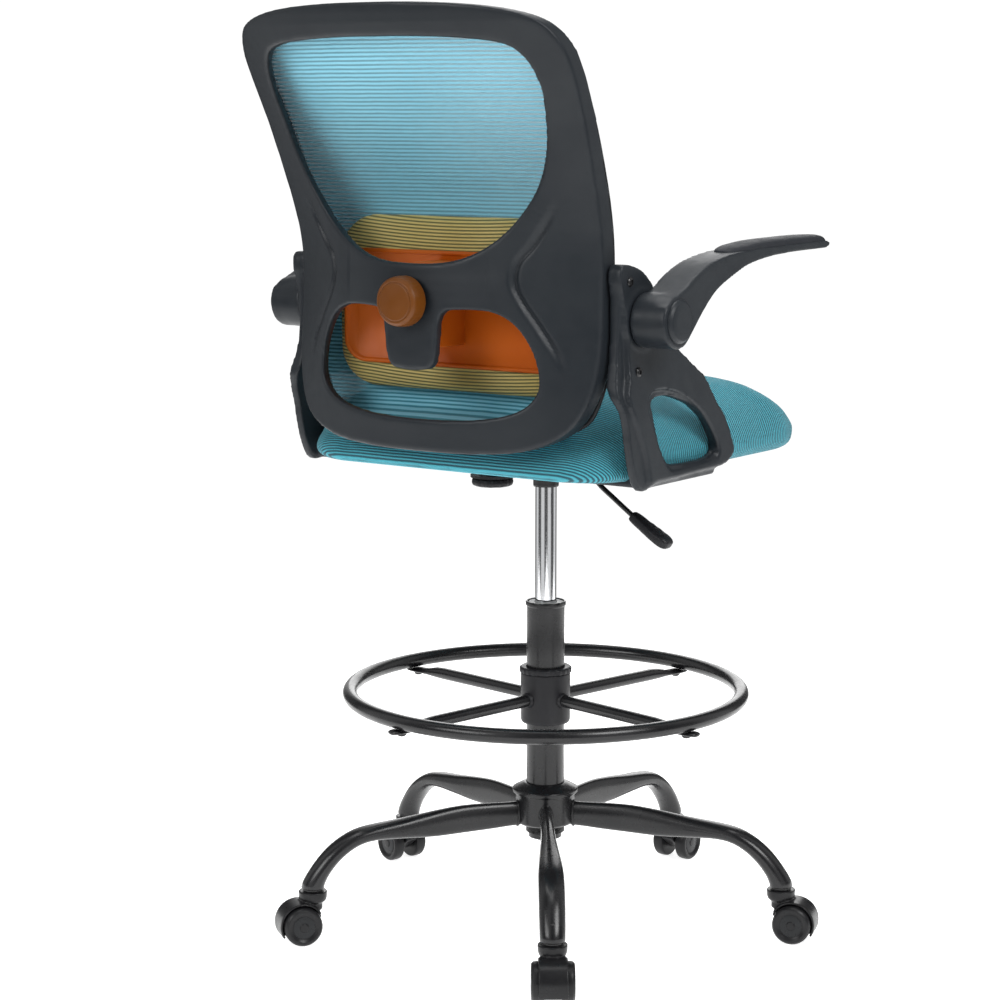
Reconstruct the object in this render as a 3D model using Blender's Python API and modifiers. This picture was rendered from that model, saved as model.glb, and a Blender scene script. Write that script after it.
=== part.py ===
"""Drafting chair: five-star caster base, gas lift with foot ring, tilting seat and mesh back.

Frame: +Z up, floor at z = 0, the sitter faces -Y and the sitter's left is +X.  Every piece is drawn
in the column's frame (column axis at x = y = 0) and hangs from an empty that puts the middle of the
whole chair's box over the origin.  Units are metres.
"""
import math

import bmesh
import bpy
from mathutils import Matrix, Vector

# ---------------------------------------------------------------- driving dimensions
COLUMN_Y = -0.0095          # the column axis in the chair's own frame
GAP = 0.0003                # clearance between pieces that touch
RUN = 0.0003                # radial running clearance of shafts

# five-star base
LEG_COUNT = 5
LEG_FIRST_ANGLE = -90.0     # one leg points straight forward
LEG_TIP_R = 0.319
LEG_TIP_Z = 0.0703
HUB_BORE_R = 0.0253
HUB_Z = (0.129, 0.1855)

# casters
WHEEL_R = 0.025
WHEEL_TRAIL = 0.018         # axle behind the stem
WHEEL_FACES = (0.0105, 0.0268)
AXLE_R = 0.004
HOOD_R = (0.0265, 0.0290)
HOOD_HALF_WIDTH = 0.018
STEM_R = 0.005

# column and gas lift
COLUMN_R = 0.025
COLUMN_Z = (0.110, 0.4285)
CYLINDER_R = 0.014
CYLINDER_Z = (0.262, 0.618)
ROD_R = 0.005

# foot ring
RING_R = 0.2576
RING_TUBE_R = 0.0096
RING_Z = 0.3083
SPOKE_FIRST_ANGLE = 78.7
SPOKE_R = 0.008
COLLAR_R = 0.0325
COLLAR_Z = (0.2665, 0.333)
NUT_Z = (0.3333, 0.341)

# tilt mechanism
TILT_Y = 0.035
TILT_Z = 0.622
PIN_R = 0.004
SPRING_Y = 0.120
HOUSING_Z = (0.6065, 0.6100)
WALL_X = (0.050, 0.054)
PLATE_Z = (0.6412, 0.6442)

# seat
PAN_Z = (0.6445, 0.6565)
SEAT_HALF_WIDTH = 0.245
SEAT_REAR_Y = 0.228
SEAT_FRONT_Y = -0.300
SEAT_BOTTOM_Z = 0.632
SEAT_TOP_Z = 0.7220

# arms, drawn for the sitter's right (-X) and mirrored
ARM_HUB = (0.163, 0.820)    # y, z of the flip-up axis
ARM_HUB_R = 0.033
ARM_X = (0.2500, 0.3035)
ARM_BORE_R = 0.0063

# back
BACK_Z = (0.655, 1.190)
BACK_HALF_WIDTH = 0.228
FRAME_THIN = 0.014
FRAME_RIM = 0.030
KNOB_Z = 0.840
PAD_TRAVEL_Z = 0.829        # middle of the lumbar pad at rest
PLATE_MIDDLE_Z = 0.8235     # middle of the plate behind it

CHAIR = bpy.data.collections.new("drafting_chair")
CUTTERS = bpy.data.collections.new("cutters")


# ---------------------------------------------------------------- helpers
def clear_scene():
    for obj in list(bpy.data.objects):
        bpy.data.objects.remove(obj, do_unlink=True)
    bpy.context.scene.collection.children.link(CHAIR)
    bpy.context.scene.collection.children.link(CUTTERS)


def make_material(name, color, roughness, metallic=0.0):
    mat = bpy.data.materials.new(name)
    mat.use_nodes = True
    shader = mat.node_tree.nodes["Principled BSDF"]
    shader.inputs["Base Color"].default_value = (*color, 1.0)
    shader.inputs["Roughness"].default_value = roughness
    shader.inputs["Metallic"].default_value = metallic
    mat.diffuse_color = (*color, 1.0)
    return mat


def smoothstep(low, high, value):
    t = min(max((value - low) / (high - low), 0.0), 1.0)
    return t * t * (3.0 - 2.0 * t)


def interpolate(table, value):
    """Straight-line reading of a short table of (key, value) rows sorted by key."""
    if value <= table[0][0]:
        return table[0][1]
    for (k0, v0), (k1, v1) in zip(table, table[1:]):
        if value <= k1:
            return v0 + (v1 - v0) * (value - k0) / (k1 - k0)
    return table[-1][1]


def smooth_curve(points, per_span=4, closed=True):
    """Catmull-Rom points through a short outline."""
    count = len(points)
    spans = count if closed else count - 1
    result = []
    for i in range(spans):
        if closed:
            p0, p1, p2, p3 = (Vector(points[(i + k - 1) % count]) for k in range(4))
        else:
            p0, p1, p2, p3 = (Vector(points[min(max(i + k - 1, 0), count - 1)]) for k in range(4))
        for step in range(per_span):
            t = step / per_span
            result.append(0.5 * ((2 * p1) + (p2 - p0) * t + (2 * p0 - 5 * p1 + 4 * p2 - p3) * t * t
                                 + (3 * p1 - p0 - 3 * p2 + p3) * t ** 3))
    if not closed:
        result.append(Vector(points[-1]))
    return result


def arc(centre, radius, start, end, steps):
    """Points of a circular arc; angles in degrees."""
    return [(centre[0] + radius * math.cos(math.radians(start + (end - start) * i / steps)),
             centre[1] + radius * math.sin(math.radians(start + (end - start) * i / steps)))
            for i in range(steps + 1)]


def add_object(name, data, material, parent, location=(0, 0, 0), rotation=(0, 0, 0)):
    obj = bpy.data.objects.new(name, data)
    CHAIR.objects.link(obj)
    obj.location = location
    obj.rotation_euler = rotation
    obj.parent = parent
    if material is not None and not data.materials:
        data.materials.append(material)
    return obj


def finish_mesh(bm, name, sharp=40.0):
    bmesh.ops.recalc_face_normals(bm, faces=bm.faces)
    mesh = bpy.data.meshes.new(name)
    bm.to_mesh(mesh)
    bm.free()
    mesh.shade_smooth()
    mesh.set_sharp_from_angle(angle=math.radians(sharp))
    return mesh


def set_origin(obj, point):
    """Moves a mesh object's origin to point without moving its shape."""
    obj.data.transform(Matrix.Translation(-Vector(point)))
    obj.location = point
    return obj


def turned(name, profile, material, parent, location=(0, 0, 0), rotation=(0, 0, 0), steps=24,
           closed=True):
    """Screws a profile of (radius, height) points round its own Z axis."""
    mesh = bpy.data.meshes.new(name)
    edges = [(i, i + 1) for i in range(len(profile) - 1)]
    if closed:
        edges.append((len(profile) - 1, 0))
    mesh.from_pydata([(r, 0.0, z) for r, z in profile], edges, [])
    obj = add_object(name, mesh, material, parent, location, rotation)
    screw = obj.modifiers.new("Screw", "SCREW")
    screw.steps = screw.render_steps = steps
    screw.use_merge_vertices = True
    screw.merge_threshold = 0.00001
    screw.use_smooth_shade = True
    return obj


def applied(obj):
    """Applies the object's modifiers and gives its mesh back."""
    depsgraph = bpy.context.evaluated_depsgraph_get()
    depsgraph.update()
    mesh = bpy.data.meshes.new_from_object(obj.evaluated_get(depsgraph))
    obj.modifiers.clear()
    obj.data = mesh
    return obj


def boolean(obj, tool, operation):
    """Joins or cuts obj with tool, which is used up."""
    modifier = obj.modifiers.new(operation, "BOOLEAN")
    modifier.operation = operation
    modifier.object = tool
    bpy.context.view_layer.update()
    applied(obj)
    bpy.data.objects.remove(tool, do_unlink=True)
    return obj


def box_object(name, low, high, material, parent, bevel=0.0):
    bm = bmesh.new()
    bmesh.ops.create_cube(bm, size=1.0)
    size = Vector(high) - Vector(low)
    middle = (Vector(high) + Vector(low)) / 2
    bmesh.ops.scale(bm, vec=size, verts=bm.verts)
    bmesh.ops.translate(bm, vec=middle, verts=bm.verts)
    if bevel:
        bmesh.ops.bevel(bm, geom=bm.edges[:], offset=bevel, segments=1, affect="EDGES")
    return add_object(name, finish_mesh(bm, name), material, parent)


def cylinder_object(name, start, end, radius, material, parent, sides=16):
    """A plain cylinder between two points."""
    start, end = Vector(start), Vector(end)
    bm = bmesh.new()
    bmesh.ops.create_cone(bm, cap_ends=True, segments=sides, radius1=radius, radius2=radius,
                          depth=(end - start).length)
    turn = (end - start).to_track_quat("Z", "Y").to_matrix().to_4x4()
    bm.transform(Matrix.Translation((start + end) / 2) @ turn)
    return add_object(name, finish_mesh(bm, name), material, parent)


def tube_mesh(name, points, radius, cyclic=False, sides_resolution=2):
    """A wire or tube as a mesh with welded caps."""
    curve = bpy.data.curves.new(name, "CURVE")
    curve.dimensions = "3D"
    spline = curve.splines.new("POLY")
    spline.points.add(len(points) - 1)
    for point, where in zip(spline.points, points):
        point.co = (*where, 1.0)
    spline.use_cyclic_u = cyclic
    curve.bevel_depth = radius
    curve.bevel_resolution = sides_resolution
    curve.use_fill_caps = not cyclic
    holder = bpy.data.objects.new(name, curve)
    bpy.context.scene.collection.objects.link(holder)
    depsgraph = bpy.context.evaluated_depsgraph_get()
    depsgraph.update()
    mesh = bpy.data.meshes.new_from_object(holder.evaluated_get(depsgraph))
    bpy.data.objects.remove(holder, do_unlink=True)
    bpy.data.curves.remove(curve)
    bm = bmesh.new()
    bm.from_mesh(mesh)
    bmesh.ops.remove_doubles(bm, verts=bm.verts, dist=0.00001)
    return finish_mesh(bm, name)


def loft_mesh(name, rings):
    """Closed skin through rings of equally many points, with flat ends."""
    bm = bmesh.new()
    rows = [[bm.verts.new(p) for p in ring] for ring in rings]
    count = len(rows[0])
    for low, high in zip(rows, rows[1:]):
        for i in range(count):
            j = (i + 1) % count
            bm.faces.new((low[i], low[j], high[j], high[i]))
    bm.faces.new(rows[0][::-1])
    bm.faces.new(rows[-1])
    return finish_mesh(bm, name, sharp=50.0)


def slab_mesh(name, outlines, half, place, grid=None, sharp=50.0):
    """A flat outline with holes, cut on a grid and then bent.

    outlines are closed lists of (u, v); place(u, v, side) gives the final point, side being -1 on
    one face and +1 on the other; grid is the cell size along u and v.
    """
    curve = bpy.data.curves.new(name, "CURVE")
    curve.dimensions = "2D"
    curve.fill_mode = "BOTH"
    curve.extrude = half
    for outline in outlines:
        spline = curve.splines.new("POLY")
        spline.points.add(len(outline) - 1)
        for point, (u, v) in zip(spline.points, outline):
            point.co = (u, v, 0.0, 1.0)
        spline.use_cyclic_u = True
    holder = bpy.data.objects.new(name, curve)
    bpy.context.scene.collection.objects.link(holder)
    depsgraph = bpy.context.evaluated_depsgraph_get()
    depsgraph.update()
    mesh = bpy.data.meshes.new_from_object(holder.evaluated_get(depsgraph))
    bpy.data.objects.remove(holder, do_unlink=True)
    bpy.data.curves.remove(curve)
    bm = bmesh.new()
    bm.from_mesh(mesh)
    bmesh.ops.remove_doubles(bm, verts=bm.verts, dist=0.00001)
    if grid:
        for axis in (0, 1):
            values = [v.co[axis] for v in bm.verts]
            first, last = min(values), max(values)
            cells = max(1, round((last - first) / grid[axis]))
            for i in range(1, cells):
                cut = Vector((0, 0, 0))
                cut[axis] = first + (last - first) * i / cells
                normal = Vector((0, 0, 0))
                normal[axis] = 1.0
                bmesh.ops.bisect_plane(bm, geom=bm.verts[:] + bm.edges[:] + bm.faces[:],
                                       dist=0.0002, plane_co=cut, plane_no=normal)
    for vert in bm.verts:
        vert.co = Vector(place(vert.co.x, vert.co.y, 1.0 if vert.co.z > 0 else -1.0))
    bmesh.ops.triangulate(bm, faces=[f for f in bm.faces if len(f.verts) > 4])
    return finish_mesh(bm, name, sharp)


# ---------------------------------------------------------------- base and casters
def leg_mesh():
    """Pressed steel leg: tall and narrow at the hub, wide and low at the bend, round at the tip."""
    stations = [  # distance from the column, height, half width, half depth
        (0.0395, 0.1445, 0.0080, 0.0155), (0.0750, 0.1440, 0.0082, 0.0172),
        (0.1150, 0.1435, 0.0088, 0.0185), (0.1550, 0.1408, 0.0108, 0.0172),
        (0.1950, 0.1388, 0.0132, 0.0130), (0.2350, 0.1366, 0.0152, 0.0103),
        (0.2600, 0.1310, 0.0164, 0.0103), (0.2810, 0.1195, 0.0168, 0.0110),
        (0.2970, 0.1055, 0.0168, 0.0116), (0.3090, 0.0905, 0.0164, 0.0121),
        (0.3165, 0.0790, 0.0160, 0.0124), (LEG_TIP_R, LEG_TIP_Z, 0.0160, 0.0125)]
    rings = []
    for i, (r, z, half_width, half_depth) in enumerate(stations):
        before = stations[max(i - 1, 0)]
        after = stations[min(i + 1, len(stations) - 1)]
        along = Vector((after[0] - before[0], 0, after[1] - before[1])).normalized()
        if i == 0:
            along = Vector((1, 0, 0))
        if i == len(stations) - 1:
            along = Vector((0, 0, -1))
        upward = Vector((-along.z, 0, along.x))
        sides = 10
        rings.append([Vector((r, 0, z)) + Vector((0, half_width * math.cos(a), 0))
                      + upward * half_depth * math.sin(a)
                      for a in (2 * math.pi * (k + 0.5) / sides for k in range(sides))])
    bore = (STEM_R + RUN) / math.cos(math.pi / sides)
    for z in (LEG_TIP_Z, LEG_TIP_Z + 0.025):
        rings.append([Vector((LEG_TIP_R + bore * math.sin(a), bore * math.cos(a), z))
                      for a in (2 * math.pi * (k + 0.5) / sides for k in range(sides))])
    return loft_mesh("base_leg", rings)


def hood_object(material, parent):
    """Caster body: stem barrel, web between the wheels, hood over them and the axle."""
    x0, z0 = WHEEL_TRAIL, WHEEL_R

    def upright(half):
        return lambda u, v, side: (x0 + u, side * half, z0 + v)

    outer = arc((0, 0), HOOD_R[1], -41, 128, 12)
    web = outer + arc((0, 0), 0.012, 195, 300, 5)
    hood = slab_mesh("hood_web", [web], 0.01, upright(0.0085))
    body = add_object("caster_hood", hood, material, parent)
    shell = outer + arc((0, 0), HOOD_R[0], 128, -41, 12)
    shield = slab_mesh("hood_shield", [shell], 0.01, upright(HOOD_HALF_WIDTH))
    boolean(body, add_object("shield", shield, material, parent), "UNION")
    barrel = cylinder_object("barrel", (0, 0, 0.0455), (0, 0, 0.0625), 0.0115, material, parent)
    boolean(body, barrel, "UNION")
    cup = cylinder_object("cup", (0, 0, 0.0612), (0, 0, 0.0672), 0.0185, material, parent, 20)
    boolean(body, cup, "UNION")
    bore = cylinder_object("bore", (0, 0, 0.0490), (0, 0, 0.0800), STEM_R + RUN, material, parent)
    boolean(body, bore, "DIFFERENCE")
    axle = cylinder_object("axle", (x0, -0.0255, z0), (x0, 0.0255, z0), AXLE_R, material, parent, 12)
    boolean(body, axle, "UNION")
    return body


def wheel_profile():
    """Blind-bored tread wheel; height runs along the axle away from the caster's middle."""
    inner, outer = WHEEL_FACES
    return [(0.0, outer), (0.0200, outer), (WHEEL_R, outer - 0.0033), (WHEEL_R, inner + 0.0020),
            (WHEEL_R - 0.0015, inner), (AXLE_R + RUN, inner), (AXLE_R + RUN, outer - 0.0008),
            (0.0, outer - 0.0008)]


def build_base(root, mats):
    bore = HUB_BORE_R
    turned("base_hub", [(0.0275, HUB_Z[1]), (0.0435, 0.1775), (0.0435, 0.1725), (0.0390, 0.1690),
                        (0.0390, 0.1330), (0.0360, HUB_Z[0]), (bore, HUB_Z[0]), (bore, HUB_Z[1])],
           mats["frame_metal"], root)
    leg = leg_mesh()
    hood_source = hood_object(mats["caster_plastic"], root)
    hood_mesh = hood_source.data
    bpy.data.objects.remove(hood_source, do_unlink=True)
    for i in range(LEG_COUNT):
        angle = math.radians(LEG_FIRST_ANGLE + 360.0 / LEG_COUNT * i)
        number = i + 1
        outward = Vector((math.cos(angle), math.sin(angle), 0))
        leg_object = add_object(f"base_leg_{number}", leg.copy(), mats["frame_metal"], root)
        leg_object.data.transform(Matrix.Rotation(angle, 4, "Z"))
        stem_at = outward * LEG_TIP_R
        turned(f"caster_stem_{number}",
               [(0.0, 0.0935), (STEM_R - 0.001, 0.0935), (STEM_R, 0.0925), (STEM_R, 0.0700),
                (0.0130, 0.0700), (0.0130, 0.0675), (STEM_R, 0.0675), (STEM_R, 0.0495), (0.0, 0.0495)],
               mats["steel"], root, stem_at, steps=12, closed=False)
        add_object(f"caster_hood_{number}", hood_mesh, mats["caster_plastic"], root, stem_at,
                   (0, 0, angle))
        axle_at = outward * (LEG_TIP_R + WHEEL_TRAIL) + Vector((0, 0, WHEEL_R))
        for side, tilt in (("left", -90), ("right", 90)):
            turned(f"caster_wheel_{side}_{number}", wheel_profile(), mats["wheel"], root, axle_at,
                   (math.radians(tilt), 0, angle), steps=16, closed=False)


# ---------------------------------------------------------------- column, gas lift and foot ring
def build_column(root, mats):
    low, high = COLUMN_Z
    turned("column_tube",
           [(0.0262, high), (0.0262, high - 0.006), (COLUMN_R, high - 0.007), (COLUMN_R, 0.130),
            (0.0220, 0.127), (0.0220, low), (0.0055, low), (0.0055, low + 0.0035),
            (0.0205, low + 0.0035), (0.0205, 0.128), (0.0235, 0.132), (0.0235, high)],
           mats["frame_metal"], root)
    turned("column_bush", [(0.0232, high - 0.001), (0.0232, 0.335), (CYLINDER_R + RUN, 0.335),
                           (CYLINDER_R + RUN, high - 0.001)], mats["bush"], root)
    bottom, top = CYLINDER_Z
    turned("gas_cylinder",
           [(0.0, top - 0.014), (0.0036, top - 0.014), (0.0036, top), (0.0125, top),
            (CYLINDER_R, 0.585), (CYLINDER_R, bottom), (ROD_R + 0.0006, bottom),
            (ROD_R + 0.0006, 0.545), (0.0, 0.545)], mats["chrome"], root, closed=False)
    turned("piston_rod", [(0.0, 0.400), (ROD_R, 0.400), (ROD_R, low - GAP), (0.010, low - GAP),
                          (0.010, low - 0.0055), (0.0, low - 0.0055)], mats["steel"], root,
           steps=12, closed=False)
    turned("valve_button", [(0.0, top + 0.0045), (0.0033, top + 0.0045), (0.0033, top - 0.0095),
                            (0.0, top - 0.0095)], mats["steel"], root, steps=12, closed=False)


def spoke_mesh():
    """Round tube pressed flat at its outer end, where it is screwed under the ring."""
    flat_z = RING_Z - RING_TUBE_R - GAP - 0.003
    stations = [(COLLAR_R + GAP, 0.2990, 0.0080, 0.0080), (0.120, 0.2985, 0.0080, 0.0080),
                (0.205, 0.2980, 0.0080, 0.0078), (0.228, 0.2968, 0.0108, 0.0050),
                (0.242, flat_z, 0.0125, 0.0030), (0.262, flat_z, 0.0125, 0.0030),
                (0.270, flat_z, 0.0085, 0.0030)]
    sides = 8
    rings = [[Vector((r, a * math.cos(t), z + b * math.sin(t)))
              for t in (2 * math.pi * (k + 0.5) / sides for k in range(sides))]
             for r, z, a, b in stations]
    return loft_mesh("foot_ring_spoke", rings)


def build_foot_ring(root, mats):
    steps = 44
    around = [(RING_R * math.cos(2 * math.pi * i / steps), RING_R * math.sin(2 * math.pi * i / steps),
               RING_Z) for i in range(steps)]
    ring = tube_mesh("foot_ring", around, RING_TUBE_R, cyclic=True)
    add_object("foot_ring", ring, mats["frame_metal"], root)
    bore = COLUMN_R + RUN
    low, high = COLLAR_Z
    turned("foot_ring_collar", [(0.0325, high), (0.0325, low + 0.003), (0.0305, low), (bore, low),
                                (bore, high)], mats["frame_plastic"], root)
    low, high = NUT_Z
    turned("foot_ring_lock_nut", [(0.0325, high), (0.0342, high - 0.0015), (0.0342, low), (bore, low),
                                  (bore, high)], mats["frame_plastic"], root)
    spoke = spoke_mesh()
    for i in range(4):
        add_object(f"foot_ring_spoke_{i + 1}", spoke, mats["frame_metal"], root,
                   rotation=(0, 0, math.radians(SPOKE_FIRST_ANGLE + 90 * i)))


# ---------------------------------------------------------------- tilt mechanism
def build_mechanism(root, mats):
    steel = mats["mechanism"]
    low, high = HOUSING_Z
    x_in, x_out = WALL_X
    housing = box_object("tilt_housing", (-x_out, -0.075, low), (x_out, 0.080, high), steel, root)
    tail = box_object("tail", (-0.028, 0.070, low), (0.028, SPRING_Y, high), steel, root)
    boolean(housing, tail, "UNION")
    boolean(housing, cylinder_object("end", (0, SPRING_Y, low), (0, SPRING_Y, high), 0.028, steel,
                                     root, 20), "UNION")
    for side in (-1, 1):
        wall = box_object("wall", (min(side * x_in, side * x_out), -0.030, low),
                          (max(side * x_in, side * x_out), 0.060, 0.634), steel, root)
        boolean(housing, wall, "UNION")
    boolean(housing, cylinder_object("socket", (0, 0, 0.5804), (0, 0, low + 0.001), 0.0165, steel,
                                     root, 24), "UNION")
    boolean(housing, cylinder_object("boss", (0, 0, low), (0, 0, 0.6160), 0.0200, steel, root, 24),
            "UNION")
    boolean(housing, cylinder_object("bore", (0, 0, 0.57), (0, 0, 0.64), CYLINDER_R + RUN, steel,
                                     root, 24), "DIFFERENCE")
    boolean(housing, cylinder_object("pin_hole", (-0.08, TILT_Y, TILT_Z), (0.08, TILT_Y, TILT_Z),
                                     PIN_R + RUN, steel, root), "DIFFERENCE")
    boolean(housing, cylinder_object("bolt_hole", (0, SPRING_Y, 0.60), (0, SPRING_Y, 0.62),
                                     0.0052, steel, root), "DIFFERENCE")
    boolean(housing, box_object("slot", (-0.06, -0.0050, 0.6190), (-0.04, 0.0050, 0.6320), steel,
                                root), "DIFFERENCE")

    plate_low, plate_high = PLATE_Z
    plate = box_object("seat_plate", (-0.095, -0.110, plate_low), (0.095, 0.150, plate_high), steel,
                       root)
    for side in (-1, 1):
        ear = box_object("ear", (min(side * 0.0455, side * 0.0485), TILT_Y - 0.014, TILT_Z - 0.0075),
                         (max(side * 0.0455, side * 0.0485), TILT_Y + 0.014, plate_low + 0.001),
                         steel, root)
        boolean(plate, ear, "UNION")
    boolean(plate, cylinder_object("ear_hole", (-0.08, TILT_Y, TILT_Z), (0.08, TILT_Y, TILT_Z),
                                   PIN_R + RUN, steel, root), "DIFFERENCE")
    set_origin(plate, (0, TILT_Y, TILT_Z))

    turned("tilt_pin", [(0.0, 0.0575), (PIN_R, 0.0575), (PIN_R, -0.0560), (0.0065, -0.0560),
                        (0.0065, -0.0590), (0.0, -0.0590)], mats["steel"], root,
           (0, TILT_Y, TILT_Z), (0, math.radians(90), 0), steps=12, closed=False)

    turns, per_turn = 4, 10
    wire = 0.0018
    z_low, z_high = high + wire + GAP, plate_low - wire - GAP
    coil = []
    for i in range(turns * per_turn + 1):
        angle = 2 * math.pi * i / per_turn
        coil.append((0.016 * math.cos(angle), SPRING_Y + 0.016 * math.sin(angle),
                     z_low + (z_high - z_low) * i / (turns * per_turn)))
    add_object("tilt_spring", tube_mesh("tilt_spring", coil, wire, sides_resolution=1),
               mats["steel"], root)

    turned("tilt_tension_knob",
           [(0.0, low + 0.016), (0.0048, low + 0.016), (0.0048, low - GAP), (0.0250, low - GAP),
            (0.0270, low - 0.0030), (0.0255, low - 0.0090), (0.0200, low - 0.0110),
            (0.0, low - 0.0115)], mats["frame_plastic"], root, (0, SPRING_Y, 0), steps=20,
           closed=False)


LEVER_ROUTE = [(0.005, 0.6265), (-0.040, 0.6265), (-0.058, 0.6240), (-0.070, 0.6080),
               (-0.082, 0.5905), (-0.105, 0.5735), (-0.134, 0.5530)]


def build_lever(root, mats):
    """Height lever: its inner end lies over the valve button, the side wall is its fulcrum."""
    route = [(x, 0.0, z) for x, z in smooth_curve(LEVER_ROUTE, 3, closed=False)]
    rod = add_object("lever_rod", tube_mesh("lever_rod", route, 0.0035), mats["steel_black"], root)
    set_origin(rod, (-0.052, 0, 0.6265))
    start = Vector((-0.1344, 0, 0.5527))
    direction = Vector((-0.0560, 0, -0.0340)).normalized()
    across = Vector((0, 1, 0))
    upward = direction.cross(across)
    stations = [(0.0000, 0.0060, 0.0060), (0.0080, 0.0080, 0.0075), (0.0250, 0.0105, 0.0085),
                (0.0480, 0.0125, 0.0090), (0.0600, 0.0110, 0.0075), (0.0650, 0.0070, 0.0045)]
    sides = 10
    rings = [[start + direction * s + across * a * math.cos(t) + upward * b * math.sin(t)
              for t in (2 * math.pi * k / sides for k in range(sides))] for s, a, b in stations]
    paddle = add_object("lever_paddle", loft_mesh("lever_paddle", rings), mats["frame_plastic"], root)
    set_origin(paddle, (-0.052, 0, 0.6265))


# ---------------------------------------------------------------- seat
def rounded_plan(half_width, front, rear, corner_front, corner_rear, steps=5):
    """Plan outline of the seat, anticlockwise from the rear right corner."""
    points = arc((half_width - corner_rear, rear - corner_rear), corner_rear, 0, 90, steps)
    points += arc((-half_width + corner_rear, rear - corner_rear), corner_rear, 90, 180, steps)
    points += arc((-half_width + corner_front, front + corner_front), corner_front, 180, 270, steps)
    points += arc((half_width - corner_front, front + corner_front), corner_front, 270, 360, steps)
    return points


def cushion_object(root, mats):
    """Upholstered foam with a waterfall front and a pocket for the pan."""
    sections = [  # inset from the plan at the sides and front, inset at the rear, height
        (0.0100, 0.0080, SEAT_BOTTOM_Z), (0.0020, 0.0010, 0.6420), (0.0010, 0.0030, 0.6500),
        (0.0000, 0.0310, 0.6600), (0.0050, 0.0410, 0.6830), (0.0190, 0.0750, 0.7015),
        (0.0450, 0.0900, 0.7130), (0.0900, 0.1150, 0.7195), (0.1500, 0.1600, SEAT_TOP_Z)]
    rings = []
    for inset, rear_inset, z in sections:
        plan = rounded_plan(SEAT_HALF_WIDTH - inset, SEAT_FRONT_Y + inset, SEAT_REAR_Y - rear_inset,
                            max(0.105 - inset * 0.4, 0.02), max(0.075 - inset * 0.3, 0.02))
        ring = []
        for x, y in plan:
            lift = smoothstep(SEAT_BOTTOM_Z, SEAT_TOP_Z, z)
            drop = 0.022 * smoothstep(0.0, 1.0, (-0.10 - y) / 0.20) * lift
            ring.append(Vector((x, y, z - drop)))
        rings.append(ring)
    cushion = add_object("seat_cushion", loft_mesh("seat_cushion", rings), mats["seat_fabric"], root)
    pocket_plan = rounded_plan(0.2165, -0.2715, 0.1765, 0.08, 0.05, 4)
    pocket = slab_mesh("pocket", [pocket_plan], 0.01,
                       lambda u, v, side: (u, v, 0.60 if side < 0 else PAN_Z[1] + GAP))
    boolean(cushion, add_object("pocket", pocket, mats["seat_fabric"], root), "DIFFERENCE")
    return cushion


def build_seat(root, mats):
    set_origin(cushion_object(root, mats), (0, TILT_Y, TILT_Z))
    plan = rounded_plan(0.215, -0.270, 0.175, 0.08, 0.05, 4)
    pan = slab_mesh("seat_pan", [plan], 0.01,
                    lambda u, v, side: (u, v, PAN_Z[0] if side < 0 else PAN_Z[1]))
    set_origin(add_object("seat_pan", pan, mats["frame_plastic"], root), (0, TILT_Y, TILT_Z))


# ---------------------------------------------------------------- arms (sitter's right, then mirrored)
BRACKET_OUTLINE = [  # y, z, from the top of the rear fin forward and down
    (0.2260, 0.8780), (0.2160, 0.8870), (0.1950, 0.8860), (0.1660, 0.8740), (0.1440, 0.8560),
    (0.1290, 0.8350), (0.1160, 0.8090), (0.0950, 0.7900), (0.0640, 0.7690), (0.0370, 0.7450),
    (0.0110, 0.7140), (-0.0130, 0.6890), (-0.0270, 0.6680), (-0.0360, 0.6480), (-0.0330, 0.6360),
    (-0.0160, 0.6290), (0.0480, 0.6250), (0.1400, 0.6180), (0.1700, 0.6165), (0.1860, 0.6260),
    (0.1910, 0.6450), (0.1980, 0.6850), (0.2080, 0.7180), (0.2190, 0.7420)]
BRACKET_OPENING = [
    (0.1500, 0.7260), (0.1280, 0.7320), (0.1000, 0.7280), (0.0700, 0.7150), (0.0430, 0.6980),
    (0.0190, 0.6740), (0.0050, 0.6540), (0.0060, 0.6440), (0.0220, 0.6380), (0.0600, 0.6380),
    (0.1050, 0.6390), (0.1230, 0.6450), (0.1400, 0.6720), (0.1530, 0.7030)]


def bracket_place(side_sign):
    """Bends the flat bracket outline: beside the back frame above, outside the seat below."""
    def place(y, z, side):
        inner = 0.2290 + 0.0165 * (1.0 - smoothstep(0.705, 0.755, z))
        outer = 0.2490 + 0.0130 * (1.0 - smoothstep(0.700, 0.790, z))
        outer -= 0.0110 * smoothstep(0.160, 0.198, y) * (1.0 - smoothstep(0.690, 0.730, z))
        return side_sign * (outer if side > 0 else inner), y, z
    return place


ARM_TOP = [(0.1900, 0.8440), (0.1640, 0.8590), (0.1200, 0.8750), (0.0680, 0.8860), (0.0100, 0.8900),
           (-0.0700, 0.8940), (-0.1500, 0.8950), (-0.2050, 0.8950)]
ARM_BOTTOM = [(-0.2170, 0.8920), (-0.2080, 0.8870), (-0.1340, 0.8860), (-0.0720, 0.8820),
              (-0.0150, 0.8730), (0.0350, 0.8580), (0.0700, 0.8400), (0.0980, 0.8120),
              (0.1250, 0.7955)]


def arm_outline():
    """Side view of an armrest: hub end, rising neck and thin blade."""
    y, z = ARM_HUB
    hub = arc((y, z), ARM_HUB_R, -112, 35, 8)
    top = smooth_curve(ARM_TOP[1:], 2, closed=False)
    bottom = smooth_curve(ARM_BOTTOM, 2, closed=False)
    return hub + [tuple(p) for p in top] + [tuple(p) for p in bottom]


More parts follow.
